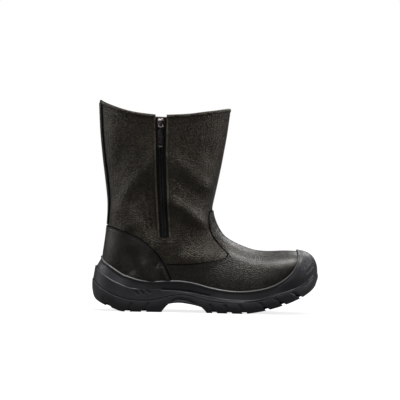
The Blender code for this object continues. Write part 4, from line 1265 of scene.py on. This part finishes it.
def seats(path, pitch, lift, tilt=0.0, lapped=False):
    """Places and turns of stitches along rows and columns of the skin."""
    fine = even_rows(path, SEAT_POINTS, 0)
    rise = lift + (lap_rise(SKIN.at(*fine.T)[:, 2]) if lapped else 0.0)
    places = SKIN.at(*fine.T, rise)
    run = run_along(places)
    spots = np.arange(pitch / 2, run[-1], pitch)
    lists = (places, np.gradient(places, axis=0), SKIN.normal(*fine.T))
    out = []
    for place, step, square in zip(*(columns_at(spots, run, values) for values in lists)):
        x_axis, z_axis = Vector(step).normalized(), Vector(square)
        z_axis = (z_axis - x_axis * x_axis.dot(z_axis)).normalized()
        turn = Matrix((x_axis, z_axis.cross(x_axis), z_axis)).transposed()
        turn = turn @ Matrix.Rotation(math.radians(tilt), 3, "Z")
        out.append((Vector(place), turn.to_euler()))
    return out


def bead_tree(material):
    """Geometry nodes that set one small rounded bead on each point, turned by its own attribute."""
    tree = bpy.data.node_groups.new("Beads", "GeometryNodeTree")
    face = tree.interface
    face.new_socket("Geometry", in_out="INPUT", socket_type="NodeSocketGeometry")
    for label in BEAD_SIZES:
        face.new_socket(label, in_out="INPUT", socket_type="NodeSocketFloat")
    face.new_socket("Geometry", in_out="OUTPUT", socket_type="NodeSocketGeometry")
    add, link = tree.nodes.new, tree.links.new
    given, result = add("NodeGroupInput"), add("NodeGroupOutput")
    bead, size = add("GeometryNodeMeshUVSphere"), add("ShaderNodeCombineXYZ")
    scale, place = add("GeometryNodeTransform"), add("GeometryNodeInstanceOnPoints")
    turn, real = add("GeometryNodeInputNamedAttribute"), add("GeometryNodeRealizeInstances")
    paint = add("GeometryNodeSetMaterial")
    for label, value in (("Segments", 8), ("Rings", 5), ("Radius", 0.5)):
        bead.inputs[label].default_value = value
    turn.data_type = "FLOAT_VECTOR"
    turn.inputs["Name"].default_value = "turn"
    paint.inputs["Material"].default_value = material
    for axis, label in zip("XYZ", BEAD_SIZES):
        link(given.outputs[label], size.inputs[axis])
    joins = (
        (bead, "Mesh", scale, "Geometry"), (size, "Vector", scale, "Scale"),
        (given, "Geometry", place, "Points"), (scale, "Geometry", place, "Instance"),
        (turn, "Attribute", place, "Rotation"), (place, "Instances", real, "Geometry"),
        (real, "Geometry", paint, "Geometry"), (paint, "Geometry", result, "Geometry"),
    )
    for start, out, end, into in joins:
        link(start.outputs[out], end.inputs[into])
    return tree


def beads(name, spots, size, material):
    """Plain mesh of beads at the places and turns given."""
    mesh = bpy.data.meshes.new(name)
    mesh.from_pydata([tuple(c * MM for c in place) for place, _ in spots], [], [])
    turn = mesh.attributes.new("turn", "FLOAT_VECTOR", "POINT")
    turn.data.foreach_set("vector", [c for _, euler in spots for c in euler])
    obj = add_object(name, mesh)
    step = obj.modifiers.new("Beads", "NODES")
    step.node_group = bead_tree(material)
    items = [item for item in step.node_group.interface.items_tree if item.in_out == "INPUT"]
    sockets = {item.name: item.identifier for item in items}
    for label, value in zip(BEAD_SIZES, size):
        step[sockets[label]] = value * MM
    baked(obj).shade_smooth()
    return obj


class Shader:
    """Material on object coordinates, with short calls to add and join nodes."""

    def __init__(self, name, **constants):
        self.material = bpy.data.materials.new(name)
        self.material.use_nodes = True
        self.tree = self.material.node_tree
        self.bsdf = self.tree.nodes["Principled BSDF"]
        for label, value in constants.items():
            self.bsdf.inputs[label.replace("_", " ")].default_value = value
        self.coords = self.tree.nodes.new("ShaderNodeTexCoord").outputs["Object"]

    def node(self, kind, inputs=None, **settings):
        """New node with its settings, and with inputs that are set or joined."""
        made = self.tree.nodes.new(f"ShaderNode{kind}")
        for label, value in settings.items():
            setattr(made, label, value)
        for label, value in (inputs or {}).items():
            if isinstance(value, bpy.types.NodeSocket):
                self.tree.links.new(value, made.inputs[label])
            else:
                made.inputs[label].default_value = value
        return made

    def noise(self, scale, detail=2.0, rough=0.5):
        """Noise from 0 to 1."""
        inputs = {"Vector": self.coords, "Scale": scale, "Detail": detail, "Roughness": rough}
        return self.node("TexNoise", inputs).outputs["Fac"]

    def cells(self, scale, where=None):
        """Distance to the middle of the nearest cell."""
        inputs = {"Vector": where or self.coords, "Scale": scale, "Randomness": 0.75}
        return self.node("TexVoronoi", inputs, feature="F1").outputs["Distance"]

    def math(self, operation, a, b=0.0, clamp=False):
        """Sum of two values, or another operation on them."""
        return self.node("Math", {0: a, 1: b}, operation=operation, use_clamp=clamp).outputs[0]

    def mix(self, *pairs, clamp=False):
        """Sum of values, each times its share."""
        total = None
        for value, share in pairs:
            part = self.math("MULTIPLY", value, share)
            total = part if total is None else self.math("ADD", total, part, clamp)
        return total

    def vector(self, operation, a, b):
        """Operation on two vectors."""
        return self.node("VectorMath", {0: a, 1: b}, operation=operation).outputs[0]

    def span(self, value, low, high, to_low=0.0, to_high=1.0):
        """Value eased from one range to another."""
        inputs = {"Value": value, "From Min": low, "From Max": high, "To Min": to_low, "To Max": to_high}
        return self.node("MapRange", inputs, interpolation_type="SMOOTHSTEP").outputs["Result"]

    def blend(self, factor, a, b):
        """Colour between two colours."""
        return self.node("Mix", {0: factor, 6: (*a, 1.0), 7: (*b, 1.0)}, data_type="RGBA").outputs[2]

    def axis(self, index):
        """One object coordinate, in metres."""
        return self.node("SeparateXYZ", {0: self.coords}).outputs[index]

    def warped(self, scale, amount):
        """Object coordinates moved about by a noise."""
        inputs = {"Vector": self.coords, "Scale": scale, "Detail": 1.0}
        shift = self.vector("SUBTRACT", self.node("TexNoise", inputs).outputs["Color"], (0.5, 0.5, 0.5))
        sized = self.node("VectorMath", {0: shift, "Scale": amount}, operation="SCALE").outputs[0]
        return self.vector("ADD", self.coords, sized)

    def finish(self, colour, rough, height, depth):
        """Join colour, roughness and a bump of a depth in millimetres."""
        bump = self.node("Bump", {"Height": height, "Strength": 1.0, "Distance": depth * MM})
        joins = {"Base Color": colour, "Roughness": rough, "Normal": bump.outputs["Normal"]}
        for label, value in joins.items():
            self.tree.links.new(value, self.bsdf.inputs[label])
        return self.material


def leather(name, dark, light, grain, depth, rough, coat, calm, shine):
    """Pebbled leather; calm is the stretch in x over which the grain fades to a smooth face."""
    m = Shader(name, Coat_Weight=coat, Coat_Roughness=0.22, Specular_IOR_Level=0.2, Specular_Tint=shine)
    where = m.vector("MULTIPLY", m.warped(200.0, 0.0002), PEBBLE_SHAPE)
    pebble = m.span(m.cells(1000.0 / grain, where), 0.72, 0.08)
    small = m.span(m.cells(2100.0 / grain, where), 0.7, 0.1)
    height = m.mix((pebble, 0.7), (small, 0.16), (m.noise(2600.0, 3.0), 0.1))
    if calm:
        keep = m.span(m.axis(0), calm[0] * MM, calm[1] * MM, 1.0, 0.12)
        height = m.math("MULTIPLY", height, keep)
        pebble = m.math("MULTIPLY", pebble, keep)
    height = m.math("ADD", height, m.mix((m.noise(38.0, 3.0, 0.55), 2.0)))
    worn = m.span(m.noise(85.0, 5.0, 0.6), 0.5, 0.78)
    patchy = m.span(m.noise(24.0, 2.0), 0.3, 0.75, 0.25, 1.0)
    # Colour follows the pebble domes, darker in the hollows and lighter on the tops: grain tone, and partly
    # painted shade and painted light.
    tone = m.mix((pebble, patchy), (worn, 0.35), clamp=True)
    gloss = m.span(m.noise(60.0, 4.0, 0.6), 0.3, 0.7, rough - 0.06, rough + 0.08)
    return m.finish(m.blend(tone, dark, light), gloss, height, depth)


def rubber(name, dark, light, rough):
    """Moulded sole with a fine skin, light scuffs and dust."""
    m = Shader(name, Specular_IOR_Level=0.25)
    flow = m.noise(70.0, 4.0, 0.6)
    scuff = m.span(m.noise(160.0, 6.0, 0.7), 0.58, 0.8)
    dust = m.span(m.axis(2), 0.0, 0.03, 0.45, 0.0)
    tone = m.mix((scuff, 0.4), (dust, flow), clamp=True)
    height = m.mix((m.noise(1900.0, 3.0, 0.6), 0.6), (flow, 1.5))
    gloss = m.span(flow, 0.3, 0.7, rough - 0.05, rough + 0.1)
    return m.finish(m.blend(tone, dark, light), gloss, height, 0.12)


def felt(name, dark, light):
    """Brushed lining."""
    m = Shader(name, Sheen_Weight=0.25, Sheen_Roughness=0.6)
    nap = m.noise(1500.0, 4.0, 0.7)
    height = m.mix((nap, 1.0), (m.cells(700.0), 0.6))
    tone = m.blend(m.span(nap, 0.3, 0.7), dark, light)
    return m.finish(tone, m.span(nap, 0.2, 0.8, 0.85, 0.97), height, 0.35)


def dyed_edge_and_shadow(name, dark, light):
    """Raw edge of an overlay, dyed black and dull; its near-black band also paints the shadow in the groove
    along the edge.
    """
    m = Shader(name, Specular_IOR_Level=0.06)
    fibre = m.noise(1800.0, 3.0, 0.7)
    return m.finish(m.blend(fibre, dark, light), m.span(fibre, 0.3, 0.7, 0.75, 0.9), fibre, 0.1)


def woven(name, dark, light, scale, rough):
    """Tight weave for tape and thread."""
    m = Shader(name, Specular_IOR_Level=0.16)
    inputs = {"Vector": m.coords, "Scale": scale, "Distortion": 0.4}
    warp, weft = (m.node("TexWave", inputs, bands_direction=way).outputs["Fac"] for way in "ZX")
    cloth = m.math("MULTIPLY", warp, weft)
    return m.finish(m.blend(cloth, dark, light), m.span(cloth, 0.0, 1.0, rough + 0.1, rough), cloth, 0.15)


def worn_metal(name, dark, bright):
    """Black plating worn to bright metal at the top of the slider and the foot of the tab."""
    m = Shader(name, Metallic=1.0)
    rub = m.span(m.noise(420.0, 4.0, 0.6), 0.46, 0.62)
    top = m.span(m.axis(2), *METAL_TOP)
    foot = m.span(m.axis(2), *METAL_FOOT)
    wear = m.mix((top, 0.7), (foot, 0.25), (rub, 0.02), clamp=True)
    rough = m.span(m.noise(900.0, 3.0), 0.3, 0.7, 0.24, 0.4)
    return m.finish(m.blend(wear, dark, bright), rough, m.noise(1400.0, 2.0), 0.03)


def length(label, about, value):
    """Length property in metres, from millimetres."""
    return FloatProperty(name=label, description=about, default=value * MM, unit="LENGTH", precision=5)


def colour(label, about, value):
    """Colour property in linear light."""
    return FloatVectorProperty(
        name=label, description=about, subtype="COLOR", size=3, default=value, min=0.0, max=1.0)


class BootSizes(bpy.types.PropertyGroup):
    """Sizes that drive the finish of the boot."""

    grain: length("Grain", "Pebble size of the leather", 2.3)
    depth: length("Grain depth", "Height of the grain", 0.6)
    stitch: length("Stitch pitch", "Stitch spacing", 2.7)
    thread: length("Thread", "Thread width", 0.75)
    tooth: length("Tooth pitch", "Zip tooth spacing", 1.55)


class BootColours(bpy.types.PropertyGroup):
    """Colours of the boot, in linear light."""

    # Leather runs from the hollows to the tops of the grain: grain tone, and partly painted shade in the
    # hollows and painted light on the tops.
    leather_dark: colour("Leather", "Hollows of the grain", (0.0016, 0.0014, 0.0012))
    leather_light: colour("Leather lit", "Tops of the grain", (0.0250, 0.0206, 0.0140))
    # Near-black edge colour: the dyed raw edge, and also a painted shadow in the groove along the overlays.
    edge_dark: colour("Edge", "Dyed edge of the overlays", (0.0008, 0.0008, 0.0008))
    edge_light: colour("Edge fibres", "Fibres of the dyed edge", (0.0025, 0.0025, 0.0025))
    sole_dark: colour("Sole", "Moulded sole", (0.0060, 0.0060, 0.0078))
    sole_light: colour("Sole worn", "Scuffs and dust on the sole", (0.024, 0.0235, 0.025))
    # The rim's lighter colour is a painted highlight along the bead's top edge.
    rim: colour("Sole rim highlight", "Rubbed bead along the rim of the sole", (0.045, 0.045, 0.045))
    lining_dark: colour("Lining", "Lining in its hollows", (0.010, 0.010, 0.011))
    lining_light: colour("Lining nap", "Nap of the lining", (0.030, 0.030, 0.032))
    tape_dark: colour("Tape", "Zip tape between its threads", (0.0016, 0.0016, 0.0016))
    tape_light: colour("Tape threads", "Threads of the zip tape", (0.006, 0.006, 0.0062))
    coil_dark: colour("Teeth", "Zip teeth in their hollows", (0.004, 0.004, 0.0043))
    coil_light: colour("Teeth lit", "Tops of the zip teeth", (0.012, 0.012, 0.012))
    thread: colour("Thread", "Stitching", (0.010, 0.0092, 0.0085))
    metal: colour("Plating", "Black plating of the zip pull", (0.016, 0.015, 0.015))
    bright: colour("Bare metal", "Worn metal of the zip pull", (0.62, 0.54, 0.53))


LIBRARY = {}


def shaded(shade, factor):
    """A colour times a factor, or times a factor for each channel."""
    return tuple(float(x) for x in np.asarray(shade) * factor)


def materials():
    """Materials of the boot, made once from the colours of the scene."""
    if not LIBRARY:
        c, s = bpy.context.scene.boot_colours, bpy.context.scene.boot_sizes
        for key, (name, tint, grain, depth, *finish) in LEATHERS.items():
            hide = [shaded(shade, tint) for shade in (c.leather_dark, c.leather_light)]
            LIBRARY[key] = leather(name, *hide, s.grain / MM * grain, s.depth / MM * depth, *finish)
        # The edge material is the dyed edge, and partly a painted shadow along the overlays.
        LIBRARY["edge"] = dyed_edge_and_shadow("Dyed leather edge and painted shadow", c.edge_dark, c.edge_light)
        # The rim rubber is lighter as a painted highlight along the bead.
        LIBRARY["rim"] = rubber("Sole rim highlight", c.rim, shaded(c.rim, 1.6), 0.34)
        LIBRARY["sole"] = rubber("Sole rubber", c.sole_dark, c.sole_light, 0.5)
        LIBRARY["lining"] = felt("Lining felt", c.lining_dark, c.lining_light)
        LIBRARY["tape"] = woven("Zip tape", c.tape_dark, c.tape_light, 900.0, 0.75)
        LIBRARY["coil"] = woven("Zip coil", c.coil_dark, c.coil_light, 300.0, 0.42)
        LIBRARY["thread"] = woven("Thread", shaded(c.thread, 0.6), c.thread, 1500.0, 0.5)
        LIBRARY["tack"] = woven("Tack thread", c.thread, shaded(c.thread, 14.0), 1500.0, 0.5)
        LIBRARY["metal"] = worn_metal("Zip metal", c.metal, c.bright)
    return LIBRARY


class BOOT_OT_upper(bpy.types.Operator):
    """Build the leather wall with its lining and the zip slot"""

    bl_idname = "boot.upper"
    bl_label = "Upper"

    def execute(self, context):
        m = materials()
        settle(build_upper([m["shaft"], m["lining"]]), "boot", "leather", "upper")
        settle(build_binding([m["shaft"]]), "boot", "leather", "collar_binding")
        settle(build_insole([m["lining"]]), "boot", "lining", "insole")
        return {"FINISHED"}


class BOOT_OT_overlays(bpy.types.Operator):
    """Build the vamp, heel counter and back stay"""

    bl_idname = "boot.overlays"
    bl_label = "Overlays"

    def execute(self, context):
        m = materials()
        vamp = [vamp_panel(-1), vamp_panel(1)]
        counter = [counter_panel(-1), counter_panel(1)]
        # Each overlay's second material is the near-black edge: dyed edge, and painted shadow along it.
        settle(build_panel("vamp_leather", vamp, [m["vamp"], m["edge"]]), "boot", "leather", "vamp")
        counter = build_panel("counter_leather", counter, [m["counter"], m["edge"]])
        settle(counter, "boot", "leather", "heel_counter")
        settle(build_back_stay([m["shaft"], m["edge"]]), "boot", "leather", "back_stay")
        return {"FINISHED"}


class BOOT_OT_sole(bpy.types.Operator):
    """Build the moulded cup and the tread layer"""

    bl_idname = "boot.sole"
    bl_label = "Sole"

    def execute(self, context):
        m = materials()
        settle(build_midsole([m["sole"], m["rim"]]), "boot", "sole", "midsole")
        settle(build_outsole([m["sole"]]), "boot", "sole", "outsole")
        return {"FINISHED"}


class BOOT_OT_zip(bpy.types.Operator):
    """Build the zip tape, folded edges, teeth, slider and pull tab"""

    bl_idname = "boot.zip"
    bl_label = "Zip"

    def execute(self, context):
        m, pitch = materials(), context.scene.boot_sizes.tooth / MM
        settle(build_tape([m["tape"]]), "boot", "textile", "zip_tape")
        # The welts' lighter leather is a painted highlight along the folded edges of the slot.
        settle(build_welts([m["lit_welt"]]), "boot", "leather")
        spots = []
        z = np.linspace(SLOT_FOOT + TEETH_ENDS[0], SLIDER_FOOT + TEETH_ENDS[1], TEETH_POINTS)
        for share, tilt in TEETH:
            spots += seats(zip_path(z, share), pitch, -TEETH_DEPTH, 90.0 + tilt)
        settle(beads("zip_teeth", spots, TOOTH, m["coil"]), "boot", "textile", "zip_chain")
        settle(build_slider([m["metal"]]), "boot", "metal", "zip_slider")
        settle(build_tab([m["metal"]]), "pull_tab", "metal", "zip_pull_tab")
        return {"FINISHED"}


class BOOT_OT_stitches(bpy.types.Operator):
    """Set the stitch rows of the overlays, collar and zip, and the bar tacks"""

    bl_idname = "boot.stitches"
    bl_label = "Stitches"

    def execute(self, context):
        m, size = materials(), context.scene.boot_sizes
        pitch, thread = size.stitch / MM, size.thread / MM
        counters = [counter_panel(side) for side in (-1, 1)]
        spots, tacks = [], []
        for side, counter in zip((-1, 1), counters):
            vamp = vamp_panel(side)
            for d in STITCH_ROWS:
                spots += seats(vamp.path(d), pitch, OVERLAY_TOP)
                spots += seats(counter.path(d)[:-COUNTER_END], pitch, OVERLAY_TOP, lapped=True)
        s, rate = back_stay_rows(BACK_STAY_POINTS[1])
        inside = BACK_STAY_HALF - STITCH_ROWS[0]
        for y in (-inside, inside):
            line = np.stack([s, across_back(rate, y)], axis=1)[:-BACK_STAY_END]
            spots += seats(line, pitch, OVERLAY_TOP - STITCH_LIFT)
        for columns in collar_columns():
            row = np.full_like(columns, SKIN.count - COLLAR_ROW)
            spots += seats(np.stack([row, columns], axis=1), pitch, STITCH_LIFT)
        z = np.linspace(SLOT_FOOT - ZIP_SEAM_FOOT, COLLAR_ZIP, ZIP_SEAM_POINTS)
        for share in (-1.0, 1.0):
            spots += seats(zip_path(z, share, share * ZIP_SEAM), pitch, STITCH_LIFT)
        thin = (pitch * STITCH_SHARE, thread, thread)
        settle(beads("stitching", spots, thin, m["thread"]), "boot", "textile")
        for counter in counters:
            path = counter.path(TACK_INSET)
            height = SKIN.at(*path.T)[:, 2]
            low = path[(height < TACK_TOP) & (height > TACK_FOOT)]
            tacks += seats(low, TACK_PITCH, OVERLAY_TOP + TACK_LIFT, TACK_TILT, True)
        for start, stop in ZIP_TACKS:
            x = np.linspace(start, stop, ZIP_TACK_POINTS)
            row = SKIN.find(x, np.full_like(x, SLOT_FOOT - ZIP_TACK_DROP), -1)
            for tilt in (-ZIP_TACK_TILT, ZIP_TACK_TILT):
                tacks += seats(row, TACK_PITCH, STITCH_LIFT, tilt)
        settle(beads("bar_tacks", tacks, TACK, m["tack"]), "boot", "textile")
        return {"FINISHED"}


def build_floor():
    """Floor that is white to the camera and dim to the boot."""
    pale = Shader("Studio floor", Base_Color=FLOOR_DIM, Roughness=0.8, Specular_IOR_Level=0.1)
    pale.bsdf.inputs["Emission Color"].default_value = (1.0, 1.0, 1.0, 1.0)
    seen = pale.node("LightPath").outputs["Is Camera Ray"]
    glow = pale.math("MULTIPLY", seen, FLOOR_GLOW)
    pale.tree.links.new(glow, pale.bsdf.inputs["Emission Strength"])
    mesh = bpy.data.meshes.new("studio_floor")
    corners = ((-1, -1), (1, -1), (1, 1), (-1, 1))
    mesh.from_pydata([(x * FLOOR_HALF, y * FLOOR_HALF, 0.0) for x, y in corners], [], [(0, 1, 2, 3)])
    mesh.materials.append(pale.material)
    mesh.shade_smooth()
    return add_object("studio_floor", mesh)


def build_light(name, kind, place, size, power):
    """Light aimed at the middle of the boot; a sun's size is its angle in degrees."""
    lamp = bpy.data.lights.new(name, kind)
    lamp.energy = power
    if kind == "SUN":
        lamp.angle = math.radians(size)
    else:
        lamp.size = size
    obj = add_object(name, lamp)
    obj.location = place
    obj.rotation_euler = (Vector(LIGHT_AIM) - Vector(place)).to_track_quat("-Z", "Y").to_euler()
    return obj


def build_world():
    """White backdrop to the camera, and a low even light to the boot."""
    world = bpy.data.worlds.new("studio")
    world.use_nodes = True
    tree = world.node_tree
    sky = tree.nodes["Background"]
    sky.inputs["Color"].default_value = (1.0, 1.0, 1.0, 1.0)
    seen = tree.nodes.new("ShaderNodeLightPath").outputs["Is Camera Ray"]
    level = tree.nodes.new("ShaderNodeMapRange")
    level.inputs["To Min"].default_value = SKY_LIGHT
    level.inputs["To Max"].default_value = 1.0
    tree.links.new(seen, level.inputs["Value"])
    tree.links.new(level.outputs["Result"], sky.inputs["Strength"])
    return world


def build_camera():
    """Camera at the photo's angle."""
    lens = bpy.data.cameras.new("photo_camera")
    lens.sensor_width = SENSOR
    lens.lens = SENSOR * -CAMERA[1] / PHOTO_WIDTH
    camera = add_object("photo_camera", lens)
    level = Matrix.Rotation(math.radians(90.0), 4, "X")
    roll = Matrix.Rotation(math.radians(CAMERA_ROLL), 4, "Y")
    camera.matrix_world = Matrix.Translation(CAMERA) @ roll @ level
    return camera


class BOOT_OT_stage(bpy.types.Operator):
    """Set the floor, the lights and the camera at the photo's angle"""

    bl_idname = "boot.stage"
    bl_label = "Stage"

    def execute(self, context):
        scene = context.scene
        items = [build_floor()]
        items += [build_light(*row) for row in LIGHTS]
        scene.world = build_world()
        scene.view_settings.view_transform = "Standard"
        scene.camera = build_camera()
        items.append(scene.camera)
        return {"FINISHED"}


class BOOT_PT_tools(bpy.types.Panel):
    """Sidebar list of the boot's steps"""

    bl_label = "Boot"
    bl_idname = "BOOT_PT_tools"
    bl_space_type = "VIEW_3D"
    bl_region_type = "UI"
    bl_category = "Boot"

    def draw(self, context):
        for kind in STEPS:
            self.layout.operator(kind.bl_idname)
        for group in (context.scene.boot_sizes, context.scene.boot_colours):
            for name in group.__annotations__:
                self.layout.prop(group, name)


STEPS = (BOOT_OT_upper, BOOT_OT_overlays, BOOT_OT_sole, BOOT_OT_zip, BOOT_OT_stitches, BOOT_OT_stage)
CLASSES = (BootSizes, BootColours, *STEPS, BOOT_PT_tools)


def register():
    for kind in CLASSES:
        bpy.utils.register_class(kind)
    bpy.types.Scene.boot_sizes = PointerProperty(type=BootSizes)
    bpy.types.Scene.boot_colours = PointerProperty(type=BootColours)


def unregister():
    del bpy.types.Scene.boot_sizes
    del bpy.types.Scene.boot_colours
    for kind in reversed(CLASSES):
        bpy.utils.unregister_class(kind)


def main():
    """Build every piece in order."""
    register()
    bpy.ops.boot.upper()
    bpy.ops.boot.overlays()
    bpy.ops.boot.sole()
    bpy.ops.boot.zip()
    bpy.ops.boot.stitches()
    bpy.ops.boot.stage()


if __name__ == "__main__":
    main()
